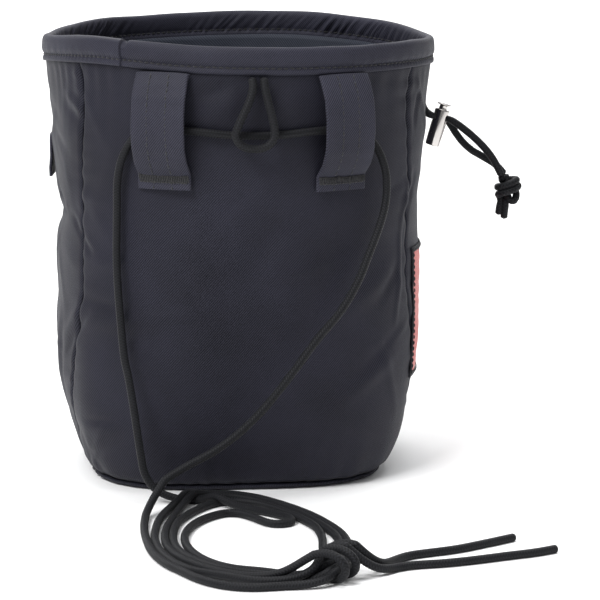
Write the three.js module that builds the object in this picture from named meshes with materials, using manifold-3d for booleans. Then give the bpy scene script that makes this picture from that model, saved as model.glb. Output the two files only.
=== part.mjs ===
// A climbing chalk bag standing on its base, seen from its back.
// Millimetres, +Z up. The origin is on the surface, under the middle of the base. -Y is the back
// of the bag, with the belt loops, and +X is the side with the cord lock.
import * as THREE from 'three';
import { mergeVertices } from 'three/addons/utils/BufferGeometryUtils.js';
import Module from 'manifold-3d';

const wasm = await Module();
wasm.setup();

// Driving dimensions
const bagHeight = 163; // surface to the top of the hem at the back
const rimRadius = 73; // outside of the hem
const wallThickness = 1.2;
const liningThickness = 1.0;
const baseThickness = 2.4;
const hemHeight = 9.8;
const hemThickness = 3.6;
const hemStep = 1.4; // how far the hem stands out past the wall under it
const hemLap = 1.0; // how far the hem's lapped end stands proud
const hemLapEnd = -39; // degrees from the middle of the back
const hemLapRun = 30; // degrees over which the lap sinks into the hem
const clearance = 0.3; // between pieces that touch
const liningClearance = 0.7; // between the wall and the lining, which hangs loose in it
const webbingWidth = 20;
const webbingThickness = 1.6;
const beltLoopLength = 41;
const beltLoopRoom = 6.2; // gap between the wall and a belt loop
const beltLoopTurn = 26.5; // degrees from the middle of the back
const tabHeight = 15.6;
const tabWidth = 14;
const tabThickness = 1.0;
const tabTurn = -99; // degrees from the middle of the back
const tabTop = 124; // above the surface
const labelHeight = 49;
const labelThickness = 1.0;
const labelBottom = 36.5; // above the surface
const labelStart = 66; // degrees from the middle of the back
const labelEnd = 106;
const cordDiameter = 2.8;
const lockRadius = 2.85;
const lockLength = 14.2;
const lockWall = 0.6;
const lockTilt = 16; // degrees, its top leaning away from the bag
const lockHoleDrop = 3.4; // top of the barrel to the middle of the cord hole
const lockHoleWidth = 2.6;
const lockHoleHeight = 3.6;
const plungerClearance = 0.25;
const plungerRise = 2.3; // top of the button above the barrel
const plungerTravel = 1.5;
const coilHeight = 5.6;
const coilReachX = 34.3; // half the coil's outer size
const coilReachY = 62.7;
const coilHoleX = 22.5; // half the size of the hole in it
const coilHoleY = 33;
const coilLift = 0.2; // above the surface

const lockPlace = [77.7, 12, 127.8]; // middle of the cord hole
const knotPlace = [103.8, 12, 99.8];
const coilPlace = [-7.7, -130.5, 0];

// Height and hem radius of the bag that these places and the cords' routes are drawn on
const drawnOn = { height: 163, radius: 73 };

const hemBottom = bagHeight - hemHeight;
const wallTop = hemBottom - clearance;
const wallRadius = rimRadius - hemStep;
const cordRadius = cordDiameter / 2;

// Cross sections of the bag. height is a share of the wall's height; side, back and front are
// half sizes and drift a sideways shift, as shares of the wall's radius at the hem; square is the
// superellipse's exponent; seam is the side seams' angle from the middle of the back.
const sections = [
  { height: 0.000, side: 0.775, back: 0.770, front: 0.765, drift: -0.036, square: 3.2, seam: 76 },
  { height: 0.018, side: 0.800, back: 0.790, front: 0.785, drift: -0.033, square: 3.2, seam: 76 },
  { height: 0.050, side: 0.835, back: 0.815, front: 0.815, drift: -0.030, square: 3.1, seam: 75 },
  { height: 0.100, side: 0.872, back: 0.845, front: 0.855, drift: -0.026, square: 3.0, seam: 73 },
  { height: 0.160, side: 0.905, back: 0.870, front: 0.885, drift: -0.022, square: 2.8, seam: 68 },
  { height: 0.230, side: 0.930, back: 0.890, front: 0.910, drift: -0.019, square: 2.6, seam: 65 },
  { height: 0.330, side: 0.944, back: 0.905, front: 0.925, drift: -0.016, square: 2.5, seam: 62 },
  { height: 0.460, side: 0.944, back: 0.925, front: 0.930, drift: -0.012, square: 2.4, seam: 57 },
  { height: 0.580, side: 0.939, back: 0.940, front: 0.932, drift: -0.010, square: 2.3, seam: 58 },
  { height: 0.660, side: 0.940, back: 0.955, front: 0.940, drift: -0.008, square: 2.3, seam: 58 },
  { height: 0.740, side: 0.953, back: 0.965, front: 0.950, drift: -0.006, square: 2.2, seam: 58 },
  { height: 0.830, side: 0.973, back: 0.978, front: 0.970, drift: -0.004, square: 2.1, seam: 57 },
  { height: 0.920, side: 0.986, back: 0.990, front: 0.985, drift: -0.002, square: 2.0, seam: 56 },
  { height: 1.000, side: 1.000, back: 1.000, front: 1.000, drift: 0.000, square: 2.0, seam: 57 },
];

// Dents and folds of the walls. turn and spread are degrees round the bag from the middle of the
// back; height and tall are shares of the wall's height; depth is a share of the wall's radius.
const dents = [
  { turn: -92, height: 0.625, spread: 20, tall: 0.035, depth: 0.036 },
  { turn: -96, height: 0.860, spread: 16, tall: 0.050, depth: 0.014 },
  { turn: -88, height: 0.440, spread: 14, tall: 0.050, depth: 0.012 },
  { turn: -66, height: 0.300, spread: 7, tall: 0.130, depth: 0.014 },
  { turn: 76, height: 0.160, spread: 12, tall: 0.060, depth: 0.018 },
  { turn: -72, height: 0.100, spread: 8, tall: 0.060, depth: 0.016 },
  { turn: 130, height: 0.420, spread: 16, tall: 0.090, depth: 0.022 },
  { turn: -140, height: 0.330, spread: 18, tall: 0.080, depth: 0.024 },
  { turn: 172, height: 0.620, spread: 14, tall: 0.120, depth: 0.018 },
];

// Rise of the mouth round the hem, as a share of the hem's height.
const rimRise = [
  { turn: -180, rise: 0.15 },
  { turn: -135, rise: 0.03 },
  { turn: -98, rise: -0.18 },
  { turn: -66, rise: 0.13 },
  { turn: -45, rise: 0.24 },
  { turn: -22, rise: 0.05 },
  { turn: 12, rise: -0.06 },
  { turn: 58, rise: -0.10 },
  { turn: 96, rise: -0.24 },
  { turn: 133, rise: 0.06 },
  { turn: 158, rise: 0.20 },
  { turn: 180, rise: 0.15 },
];

// Belt loop, from its top edge down. along is a share of its length, stand of the room behind it.
const beltLoopShape = [
  { along: 0.00, stand: 0.00 },
  { along: 0.04, stand: 0.30 },
  { along: 0.10, stand: 0.85 },
  { along: 0.18, stand: 1.00 },
  { along: 0.76, stand: 1.00 },
  { along: 0.83, stand: 0.75 },
  { along: 0.88, stand: 0.20 },
  { along: 0.91, stand: 0.00 },
  { along: 1.00, stand: 0.00 },
];

// The coil's section round its ring. turn is in degrees from +X; wide and tall are shares of the
// ring's own width and height, and out is a share of its outer half size.
const coilShape = [
  { turn: 0, wide: 1.00, tall: 1.00, out: 1.00 },
  { turn: 60, wide: 1.00, tall: 1.00, out: 1.00 },
  { turn: 100, wide: 1.00, tall: 1.30, out: 1.00 },
  { turn: 135, wide: 1.05, tall: 1.15, out: 1.03 },
  { turn: 152, wide: 1.20, tall: 1.10, out: 1.09 },
  { turn: 180, wide: 1.00, tall: 0.90, out: 1.00 },
  { turn: 250, wide: 1.00, tall: 1.00, out: 1.00 },
  { turn: 302, wide: 1.00, tall: 1.20, out: 1.02 },
  { turn: 322, wide: 1.15, tall: 1.75, out: 1.13 },
  { turn: 342, wide: 1.05, tall: 1.30, out: 1.04 },
  { turn: 360, wide: 1.00, tall: 1.00, out: 1.00 },
];

// Routes of the cords, chosen by hand.
const leftDropRoute = [
  [-37.7, -63.1, 132.2], [-41.2, -61.2, 130.6], [-44.0, -59.6, 126.8], [-46.3, -58.3, 121.4],
  [-47.6, -57.4, 114.0], [-47.8, -57.0, 104.1], [-48.1, -57.0, 87.6], [-47.8, -58.0, 76.5],
  [-47.1, -59.0, 65.5], [-46.0, -61.5, 52.1], [-44.5, -64.0, 44.2], [-42.9, -68.0, 33.7],
  [-40.9, -74.0, 23.0], [-40.0, -79.0, 13.0], [-39.2, -84.0, 5.2], [-38.6, -89.0, 2.2],
  [-38.3, -91.1, 2.0],
];
const rightDropRoute = [
  [37.7, -63.1, 131.1], [41.0, -61.6, 129.8], [43.8, -60.4, 127.0], [46.4, -59.6, 122.4],
  [48.3, -59.0, 115.3], [48.1, -59.5, 106.5], [45.7, -62.0, 98.1], [40.8, -66.5, 87.0],
  [36.9, -69.0, 78.5], [30.7, -72.0, 69.0], [21.6, -74.5, 58.8], [13.2, -76.0, 47.9],
  [3.5, -77.0, 36.0], [-5.3, -78.0, 27.5], [-14.4, -79.0, 21.0], [-24.5, -80.5, 15.9],
  [-32.1, -83.0, 12.2], [-38.6, -86.5, 8.8], [-42.6, -90.5, 4.6], [-43.8, -95.4, 2.6],
];
const spanRoute = [
  [-37.0, -63.2, 132.4], [-32.7, -65.2, 133.2], [-27.0, -67.4, 133.5], [-20.0, -69.6, 133.2],
  [-10.0, -71.3, 132.2], [0.0, -71.9, 131.8], [10.0, -71.3, 132.0], [20.0, -69.6, 132.8],
  [27.0, -67.4, 133.0], [32.7, -65.2, 132.4], [37.0, -63.2, 131.4],
];
const pullLoopRoute = [
  [-0.9, -73.3, 152.5], [-0.6, -74.3, 148.6], [-2.4, -75.2, 143.0], [-5.4, -75.9, 136.8],
  [-6.8, -76.0, 132.4], [-4.6, -75.9, 128.8], [0.0, -75.8, 127.6], [4.6, -75.9, 128.8],
  [6.8, -76.0, 132.4], [6.2, -75.9, 137.8], [4.8, -75.2, 143.4], [3.7, -74.3, 148.6],
  [3.3, -73.3, 152.5],
];
const upperTailRoute = [
  [25.5, -166.5, 3.4], [32.0, -163.4, 2.2], [37.6, -159.2, 1.6], [43.6, -155.0, 1.6],
  [52.2, -152.7, 1.6], [60.9, -149.6, 1.6], [71.0, -143.3, 1.6], [83.4, -135.1, 1.6],
];
const lowerTailRoute = [
  [24.2, -171.6, 3.0], [30.6, -170.6, 2.0], [36.6, -168.8, 1.6], [44.7, -167.6, 1.6],
  [53.4, -167.0, 1.6], [64.3, -164.0, 1.6], [76.2, -159.5, 1.6], [86.9, -156.0, 1.6],
  [94.9, -151.5, 1.6],
];
const innerFrontRoute = [
  [71.1, 17.7, 150.6], [70.6, 17.0, 144.0], [70.4, 14.8, 138.0], [70.9, 12.2, 133.2],
  [72.2, 10.6, 130.4], [74.0, 10.3, 129.2],
];
const innerRearRoute = [
  [68.0, 27.5, 150.6], [67.9, 26.5, 144.0], [68.6, 23.4, 138.0], [69.9, 18.8, 133.6],
  [71.9, 15.3, 130.8], [74.0, 13.8, 129.2],
];
const outerUpperRoute = [
  [81.4, 10.4, 127.3], [87.7, 10.4, 122.9], [93.6, 10.2, 117.5], [97.6, 10.0, 112.6],
  [100.6, 10.2, 107.2], [101.3, 10.5, 105.5],
];
const outerLowerRoute = [
  [81.0, 13.6, 126.2], [84.0, 13.7, 121.9], [86.6, 13.8, 118.5], [90.2, 13.9, 115.2],
  [94.6, 14.0, 112.6], [99.6, 14.0, 109.4], [103.1, 13.5, 105.7],
];

const cloth = (color, roughness) => new THREE.MeshStandardMaterial({ color, roughness, metalness: 0 });
const shellCloth = cloth(0x34343e, 0.8);
const liningCloth = cloth(0x23252b, 0.85);
const hemCloth = cloth(0x3c3c46, 0.8);
const webbing = cloth(0x2a2b33, 0.75);
const labelCloth = cloth(0xcd6e69, 0.8);
const cordBraid = cloth(0x222320, 0.7);
const drawCordBraid = cloth(0x141519, 0.7);
const nickel = new THREE.MeshStandardMaterial({ color: 0xc4c2c4, roughness: 0.18, metalness: 1 });

const bag = new THREE.Group();

function addPiece(name, geometry, material, parent = bag) {
  const mesh = new THREE.Mesh(geometry, material);
  mesh.name = name;
  parent.add(mesh);
  return mesh;
}

// One column of a table at a given place in it, straight between its rows
function readTable(table, place, key, column) {
  const after = table.findIndex((row) => row[place] >= key);
  if (after <= 0) return table[after === 0 ? 0 : table.length - 1][column];
  const low = table[after - 1];
  const high = table[after];
  const share = (key - low[place]) / (high[place] - low[place]);
  return low[column] + (high[column] - low[column]) * share;
}

// Merges shared points and drops triangles that merging made empty
function closeGeometry(geometry) {
  geometry.deleteAttribute('normal');
  geometry.deleteAttribute('uv');
  const merged = mergeVertices(geometry, 1e-3);
  const kept = [];
  const index = merged.index.array;
  for (let i = 0; i < index.length; i += 3) {
    const [a, b, c] = [index[i], index[i + 1], index[i + 2]];
    if (a !== b && b !== c && c !== a) kept.push(a, b, c);
  }
  merged.setIndex(kept);
  return merged;
}

function fromPointsAndFaces(points, faces) {
  const geometry = new THREE.BufferGeometry();
  geometry.setAttribute('position', new THREE.Float32BufferAttribute(points.flat(), 3));
  geometry.setIndex(faces);
  const closed = closeGeometry(geometry);
  closed.computeVertexNormals();
  return closed;
}

// A sheet with thickness between two grids of points: outer(i, j) and inner(i, j), i running
// anticlockwise seen from above and j upwards. around joins the last column to the first.
function thickSheet(outer, inner, columns, rows, around) {
  const points = [];
  const faces = [];
  const width = around ? columns : columns + 1;
  const place = (side, i, j) => side * width * (rows + 1) + (i % width) * (rows + 1) + j;
  for (const side of [outer, inner]) {
    for (let i = 0; i < width; i += 1) {
      for (let j = 0; j <= rows; j += 1) points.push(side(i, j));
    }
  }
  const quad = (a, b, c, d) => faces.push(a, b, c, a, c, d);
  for (let i = 0; i < columns; i += 1) {
    for (let j = 0; j < rows; j += 1) {
      quad(place(0, i, j), place(0, i + 1, j), place(0, i + 1, j + 1), place(0, i, j + 1));
      quad(place(1, i, j), place(1, i, j + 1), place(1, i + 1, j + 1), place(1, i + 1, j));
    }
    quad(place(1, i, 0), place(1, i + 1, 0), place(0, i + 1, 0), place(0, i, 0));
    quad(place(0, i, rows), place(0, i + 1, rows), place(1, i + 1, rows), place(1, i, rows));
  }
  if (!around) {
    for (let j = 0; j < rows; j += 1) {
      quad(place(1, 0, j), place(0, 0, j), place(0, 0, j + 1), place(1, 0, j + 1));
      const last = columns;
      quad(place(0, last, j), place(1, last, j), place(1, last, j + 1), place(0, last, j + 1));
    }
  }
  return fromPointsAndFaces(points, faces);
}

// A ring whose closed section changes as it goes round; section(i) gives its points, outer
// side first and anticlockwise seen along the direction of travel.
function loftRing(section, count) {
  const rings = Array.from({ length: count }, (unused, i) => section(i));
  const size = rings[0].length;
  const faces = [];
  for (let i = 0; i < count; i += 1) {
    const next = (i + 1) % count;
    for (let j = 0; j < size; j += 1) {
      const up = (j + 1) % size;
      const [a, b, c, d] = [i * size + j, next * size + j, next * size + up, i * size + up];
      faces.push(a, b, c, a, c, d);
    }
  }
  return fromPointsAndFaces(rings.flat(), faces);
}

const riseAt = (turn) => hemHeight * readTable(rimRise, 'turn', wrapTurn(turn), 'rise');

function wrapTurn(turn) {
  return ((((turn + 180) % 360) + 360) % 360) - 180;
}

function dentAt(turn, share) {
  let depth = 0;
  for (const dent of dents) {
    const across = wrapTurn(turn - dent.turn) / dent.spread;
    const up = (share - dent.height) / dent.tall;
    depth += dent.depth * Math.exp(-across * across - up * up);
  }
  return depth * wallRadius;
}

// Point of the bag's wall. turn is in degrees from the middle of the back, share runs from the
// wall's foot to its top, and inset is measured inwards from its outer face.
function wallPoint(turn, share, inset) {
  const angle = THREE.MathUtils.degToRad(turn);
  const at = (column) => readTable(sections, 'height', share, column);
  const depth = Math.cos(angle) > 0 ? at('back') : at('front');
  const power = at('square');
  const across = Math.abs(Math.sin(angle) / at('side')) ** power;
  const through = Math.abs(Math.cos(angle) / depth) ** power;
  const reach = wallRadius * (across + through) ** (-1 / power) - dentAt(turn, share) - inset;
  const foot = baseThickness + clearance;
  return [
    at('drift') * wallRadius + reach * Math.sin(angle),
    -reach * Math.cos(angle),
    foot + (wallTop + riseAt(turn) * share - foot) * share,
  ];
}

const shareAtHeight = (height) => (height - baseThickness - clearance)
  / (wallTop - baseThickness - clearance);

// Rows of the walls' grids, closer together near the foot
const wallRows = [0, 0.018, 0.05, 0.1, 0.16, 0.23, 0.31, 0.39, 0.47, 0.54, 0.595, 0.625, 0.66,
  0.7, 0.78, 0.88, 1];
const liningRows = wallRows.filter((share) => ![0, 0.39, 0.7].includes(share));

function wallPanel(name, columns, turnAt) {
  const place = (inset) => (i, j) => wallPoint(turnAt(i / columns, wallRows[j]), wallRows[j], inset);
  const last = wallRows.length - 1;
  addPiece(name, thickSheet(place(0), place(wallThickness), columns, last, false), shellCloth);
}

function makeWalls() {
  const seamTurn = THREE.MathUtils.radToDeg(clearance / 2 / wallRadius) / 0.75;
  const seamAt = (share) => readTable(sections, 'height', share, 'seam');
  wallPanel('back_panel', 24, (across, share) => {
    const reach = seamAt(share) - seamTurn;
    return THREE.MathUtils.lerp(-reach, reach, across);
  });
  wallPanel('front_panel', 34, (across, share) => {
    const start = seamAt(share) + seamTurn;
    return THREE.MathUtils.lerp(start, 360 - start, across);
  });
}

function makeBase() {
  const count = 48;
  const edge = (rim) => Array.from({ length: count }, (unused, i) => {
    const [x, y] = wallPoint((360 * i) / count, 0, rim);
    return new THREE.Vector2(x, y);
  });
  const bevel = baseThickness / 4;
  const shape = new THREE.Shape(edge(bevel));
  const geometry = new THREE.ExtrudeGeometry(shape, {
    depth: baseThickness - 2 * bevel,
    bevelEnabled: true,
    bevelThickness: bevel,
    bevelSize: bevel,
    bevelSegments: 1,
  });
  geometry.translate(0, 0, bevel);
  addPiece('base_panel', closeGeometry(geometry), shellCloth);
}

// The lining's floor and wall in one sheet, from the middle of the floor up to the hem
function makeLining() {
  const columns = 32;
  const outerInset = wallThickness + liningClearance;
  const floor = baseThickness + clearance;
  const floorShares = [0, 0.5, 0.94];
  const topShare = 1 - clearance / wallTop;
  const place = (inset) => (i, j) => {
    const turn = (360 * i) / columns;
    const depth = inset - outerInset;
    if (j < floorShares.length) {
      const [x, y] = wallPoint(turn, 0, inset);
      const middle = sections[0].drift * wallRadius;
      const share = floorShares[j];
      return [middle + (x - middle) * share, y * share, floor + depth];
    }
    return wallPoint(turn, Math.min(liningRows[j - floorShares.length], topShare), inset);
  };
  const rows = floorShares.length + liningRows.length - 1;
  const outer = place(outerInset);
  const inner = place(outerInset + liningThickness);
  addPiece('lining', thickSheet(outer, inner, columns, rows, true), liningCloth);
}

// The hem: a rounded band over the tops of the walls, with its lapped end at the back left
function makeHem() {
  const columns = 56;
  const joint = 0.3;
  const turns = Array.from({ length: columns }, (unused, i) => hemLapEnd + joint + (360 * i) / columns);
  turns[columns - 1] = hemLapEnd + 360 - joint;
  const section = (i) => {
    const turn = turns[i];
    const angle = THREE.MathUtils.degToRad(turn);
    const fromLap = hemLapEnd + 360 - turn;
    const lap = fromLap < hemLapRun ? hemLap * (1 - fromLap / hemLapRun) : 0;
    const outside = rimRadius + lap;
    const inside = rimRadius - hemThickness;
    const low = hemBottom + riseAt(turn);
    const high = low + hemHeight;
    const soft = hemThickness * 0.3;
    const corners = [
      [outside - soft * 0.3, low], [outside, low + soft], [outside, high - soft],
      [outside - soft, high], [inside + soft, high], [inside, high - soft],
      [inside, low + soft * 0.5], [inside + soft * 0.3, low],
    ];
    return corners.map(([r, z]) => [r * Math.sin(angle), -r * Math.cos(angle), z]);
  };
  addPiece('rim_band', loftRing(section, columns), hemCloth);
}

// Frame on the outer wall: origin on its face, x outwards, y up and z along the wall
function wallFrame(turn, height) {
  const share = shareAtHeight(height);
  const place = new THREE.Vector3(...wallPoint(turn, share, 0));
  const before = new THREE.Vector3(...wallPoint(turn - 1, share, 0));
  const along = new THREE.Vector3(...wallPoint(turn + 1, share, 0)).sub(before);
  along.z = 0;
  along.normalize();
  const out = new THREE.Vector3(along.y, -along.x, 0);
  const up = new THREE.Vector3(0, 0, 1);
  const group = new THREE.Group();
  group.applyMatrix4(new THREE.Matrix4().makeBasis(out, up, along.negate()).setPosition(place));
  bag.add(group);
  return { group, out, place, share };
}

// How far the wall leans in at another height, measured along a frame's outward direction
function leanAt(frame, turn, height) {
  const point = new THREE.Vector3(...wallPoint(turn, shareAtHeight(height), 0));
  return point.sub(frame.place).dot(frame.out);
}

function extrudeOutline(points, depth) {
  const shape = new THREE.Shape(points.map(([x, y]) => new THREE.Vector2(x, y)));
  const geometry = new THREE.ExtrudeGeometry(shape, { depth, bevelEnabled: false });
  geometry.translate(0, 0, -depth / 2);
  return closeGeometry(geometry);
}

function makeBeltLoop(name, turn) {
  const halfTurn = THREE.MathUtils.radToDeg(webbingWidth / 2 / wallRadius);
  const top = wallTop + Math.min(riseAt(turn - halfTurn), riseAt(turn + halfTurn));
  const frame = wallFrame(turn, top - beltLoopLength / 2);
  const inner = beltLoopShape.map((row) => {
    const height = top - row.along * beltLoopLength;
    const lean = leanAt(frame, turn, height) + clearance;
    return [lean + row.stand * (beltLoopRoom - clearance), height - frame.place.z];
  });
  const outer = inner.map(([x, y], i) => {
    const [beforeX, beforeY] = inner[Math.max(i - 1, 0)];
    const [afterX, afterY] = inner[Math.min(i + 1, inner.length - 1)];
    const run = new THREE.Vector2(afterX - beforeX, afterY - beforeY).normalize();
    return [x - run.y * webbingThickness, i === 0 ? y : y + run.x * webbingThickness];
  });
  const outline = [...inner, ...outer.reverse()];
  addPiece(name, extrudeOutline(outline, webbingWidth), webbing, frame.group);
}

// A small folded tab sewn on at its top, with its loose end standing off the wall
function makeTab() {
  const frame = wallFrame(tabTurn, tabTop - tabHeight / 2);
  const half = tabHeight / 2;
  const leanTop = leanAt(frame, tabTurn, tabTop) + clearance;
  const leanLow = leanAt(frame, tabTurn, tabTop - tabHeight) + clearance;
  const out = tabThickness;
  const outline = [
    [leanTop, half], [leanTop + out * 0.2, 0], [leanLow + out * 0.6, -half * 0.75],
    [leanLow + out * 0.6, -half], [leanLow + out * 2.2, -half], [leanLow + out * 2.2, -half * 0.75],
    [leanTop + out * 1.2, 0], [leanTop + out, half],
  ];
  addPiece('side_tab', extrudeOutline(outline.reverse(), tabWidth), webbing, frame.group);
}

// The patch follows the wall round the side
function makeLabel() {
  const columns = 10;
  const rows = 6;
  const low = shareAtHeight(labelBottom);
  const high = shareAtHeight(labelBottom + labelHeight);
  const place = (inset) => (i, j) => {
    const turn = THREE.MathUtils.lerp(labelStart, labelEnd, i / columns);
    return wallPoint(turn, THREE.MathUtils.lerp(low, high, j / rows), inset);
  };
  const outer = place(-clearance - labelThickness);
  addPiece('side_label', thickSheet(outer, place(-clearance), columns, rows, false), labelCloth);
}

// Places at the back and at the side, moved with the hem and the wall from the drawn size
function atBack([x, y, z]) {
  const growth = rimRadius - drawnOn.radius;
  const loopFoot = drawnOn.height - hemHeight - beltLoopLength;
  const share = THREE.MathUtils.clamp(z / loopFoot, 0, 1);
  const spread = 1 + (growth / drawnOn.radius) * share;
  return [x * spread, y - growth, z + (bagHeight - drawnOn.height) * share];
}

function atSide([x, y, z]) {
  return [x + rimRadius - drawnOn.radius, y, z + bagHeight - drawnOn.height];
}

function routeCurve(route) {
  return new THREE.CatmullRomCurve3(route.map((point) => new THREE.Vector3(...point)));
}

function roundShape(radius, sides) {
  const points = Array.from({ length: sides }, (unused, i) => {
    const angle = (2 * Math.PI * (i + 0.5)) / sides;
    return new THREE.Vector2(radius * Math.cos(angle), radius * Math.sin(angle));
  });
  return new THREE.Shape(points);
}

function makeCordTube(name, route, steps, material) {
  const section = roundShape(cordRadius, 8);
  const extrudePath = routeCurve(route);
  const geometry = new THREE.ExtrudeGeometry(section, { steps, extrudePath, bevelEnabled: false });
  addPiece(name, closeGeometry(geometry), material);
}

// The coil with its hitch, as one ring of the outer shape
function makeCoil() {
  const columns = 40;
  const [middleX, middleY] = atBack(coilPlace);
  const section = (i) => {
    const turn = (360 * i) / columns;
    const angle = THREE.MathUtils.degToRad(turn);
    const at = (column) => readTable(coilShape, 'turn', turn, column);
    const direction = new THREE.Vector2(Math.cos(angle), Math.sin(angle));
    const outerX = coilReachX * at('out');
    const outerY = coilReachY * at('out');
    const widthX = (coilReachX - coilHoleX) * at('wide');
    const widthY = (coilReachY - coilHoleY) * at('wide');
    const tall = coilHeight * at('tall');
    const corners = [
      [0.06, coilLift], [0, tall * 0.4], [0.12, tall * 0.85], [0.3, tall], [0.7, tall],
      [0.88, tall * 0.85], [1, tall * 0.4], [0.94, coilLift],
    ];
    return corners.map(([inward, z]) => [
      middleX + (outerX - widthX * inward) * direction.x,
      middleY + (outerY - widthY * inward) * direction.y,
      z,
    ]);
  };
  addPiece('waist_cord_coil', loftRing(section, columns), cordBraid);
}

function toManifold(geometry) {
  const closed = closeGeometry(geometry);
  return new wasm.Manifold(new wasm.Mesh({
    numProp: 3,
    vertProperties: new Float32Array(closed.attributes.position.array),
    triVerts: new Uint32Array(closed.index.array),
  }));
}

function fromManifold(solid) {
  const mesh = solid.getMesh();
  const geometry = new THREE.BufferGeometry();
  geometry.setAttribute('position', new THREE.BufferAttribute(mesh.vertProperties, 3));
  geometry.setIndex(new THREE.BufferAttribute(mesh.triVerts, 1));
  geometry.computeVertexNormals();
  return geometry;
}

// The knot: rolls of cord wound round each other, and two short ends below it. Each roll is an
// ellipsoid; place is measured from the knot's middle and reach is half its size, as shares of
// the cord's diameter, and lean tips it up towards +X, in degrees.
const knotRolls = [
  { place: [-0.1, -0.2, 1.25], reach: [1.75, 0.75, 0.62], lean: 14 },
  { place: [0.1, -0.5, 0.3], reach: [1.95, 0.8, 0.64], lean: 14 },
  { place: [0.0, 0.45, 0.6], reach: [1.7, 0.95, 1.1], lean: 10 },
  { place: [0.4, 0.1, -0.9], reach: [0.95, 1.0, 1.3], lean: -12 },
  { place: [-0.7, 0.2, -0.6], reach: [1.05, 0.85, 0.75], lean: 30 },
];
const knotEnds = [
  [[-0.9, 0.0, -0.9], [-1.15, -0.1, -2.2], [-1.2, -0.1, -3.4]],
  [[0.1, 0.1, -1.4], [-0.2, 0.15, -2.7], [-0.4, 0.15, -3.9]],
];

function makeKnot() {
  let knot = null;
  const join = (geometry) => {
    const solid = toManifold(geometry);
    knot = knot ? knot.add(solid) : solid;
  };
  for (const { place, reach, lean } of knotRolls) {
    const ball = new THREE.SphereGeometry(1, 10, 6);
    ball.scale(...reach.map((share) => share * cordDiameter));
    ball.rotateY(-THREE.MathUtils.degToRad(lean));
    ball.translate(...place.map((share) => share * cordDiameter));
    join(ball);
  }
  for (const end of knotEnds) {
    const extrudePath = routeCurve(end.map((point) => point.map((share) => share * cordDiameter)));
    const section = roundShape(cordRadius, 8);
    join(new THREE.ExtrudeGeometry(section, { steps: 4, extrudePath, bevelEnabled: false }));
  }
  const mesh = addPiece('drawcord_knot', fromManifold(knot), drawCordBraid);
  mesh.position.set(...atSide(knotPlace));
}

// Solids of revolution about Z from a profile of radius and height
function lathe(profile, sides) {
  const points = profile.map(([r, z]) => new THREE.Vector2(r, z));
  return new THREE.LatheGeometry(points, sides).rotateX(Math.PI / 2);
}

function slotCutter(width, low, high) {
  const cutter = new THREE.BoxGeometry(4 * lockRadius, width, high - low);
  return toManifold(cutter.translate(0, 0, (low + high) / 2));
}

function makeCordLock() {
  const sides = 24;
  const lock = new THREE.Group();
  lock.position.set(...atSide(lockPlace));
  lock.rotation.y = THREE.MathUtils.degToRad(lockTilt);
  bag.add(lock);

  const top = lockHoleDrop;
  const foot = lockHoleDrop - lockLength;
  const edge = lockWall * 0.5;
  const bore = lockRadius - lockWall;
  const boreFoot = foot + 2.5 * lockWall;
  const barrelProfile = [
    [0, foot], [lockRadius - edge, foot], [lockRadius, foot + edge], [lockRadius, top - edge],
    [lockRadius - edge, top], [bore, top], [bore, boreFoot], [0, boreFoot],
  ];
  const barrel = toManifold(lathe(barrelProfile, sides))
    .subtract(slotCutter(lockHoleWidth, -lockHoleHeight / 2, lockHoleHeight / 2));
  addPiece('cord_lock_barrel', fromManifold(barrel), nickel, lock);

  const stem = bore - plungerClearance;
  const stemFoot = boreFoot + plungerTravel + 2 * lockWall;
  const buttonTop = top + plungerRise;
  const neck = stem * 0.8;
  const plungerProfile = [
    [0, stemFoot], [stem, stemFoot], [stem, top - edge], [neck, top + edge],
    [neck, buttonTop - 2.3 * edge], [lockRadius, buttonTop - 2 * edge],
    [lockRadius, buttonTop - edge], [lockRadius - edge, buttonTop], [0, buttonTop],
  ];
  const slotLow = -lockHoleHeight / 2 + plungerClearance;
  const slotHigh = lockHoleHeight / 2 + plungerTravel;
  const plunger = toManifold(lathe(plungerProfile, sides))
    .subtract(slotCutter(lockHoleWidth, slotLow, slotHigh));
  addPiece('cord_lock_plunger', fromManifold(plunger), nickel, lock);
}

makeWalls();
makeBase();
makeLining();
makeHem();
makeBeltLoop('belt_loop_left', -beltLoopTurn);
makeBeltLoop('belt_loop_right', beltLoopTurn);
makeTab();
makeLabel();
makeCordTube('waist_cord_span', spanRoute.map(atBack), 12, cordBraid);
makeCordTube('waist_cord_left', leftDropRoute.map(atBack), 18, cordBraid);
makeCordTube('waist_cord_right', rightDropRoute.map(atBack), 20, cordBraid);
makeCoil();
makeCordTube('waist_cord_tail_upper', upperTailRoute.map(atBack), 7, cordBraid);
makeCordTube('waist_cord_tail_lower', lowerTailRoute.map(atBack), 8, cordBraid);
makeCordTube('pull_loop', pullLoopRoute.map(atBack), 16, drawCordBraid);
makeCordTube('drawcord_inner_front', innerFrontRoute.map(atSide), 5, drawCordBraid);
makeCordTube('drawcord_inner_rear', innerRearRoute.map(atSide), 5, drawCordBraid);
makeCordTube('drawcord_outer_upper', outerUpperRoute.map(atSide), 5, drawCordBraid);
makeCordTube('drawcord_outer_lower', outerLowerRoute.map(atSide), 6, drawCordBraid);
makeKnot();
makeCordLock();

export default bag;
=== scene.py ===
"""A climbing chalk bag seen from its back, standing on a pale floor with its waist cord coiled in
front of it. Metres, +Z up; -Y is the back of the bag and +X the side with the cord lock."""
import math

import bmesh
import bpy
import numpy as np
from mathutils import Matrix, Vector


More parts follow.
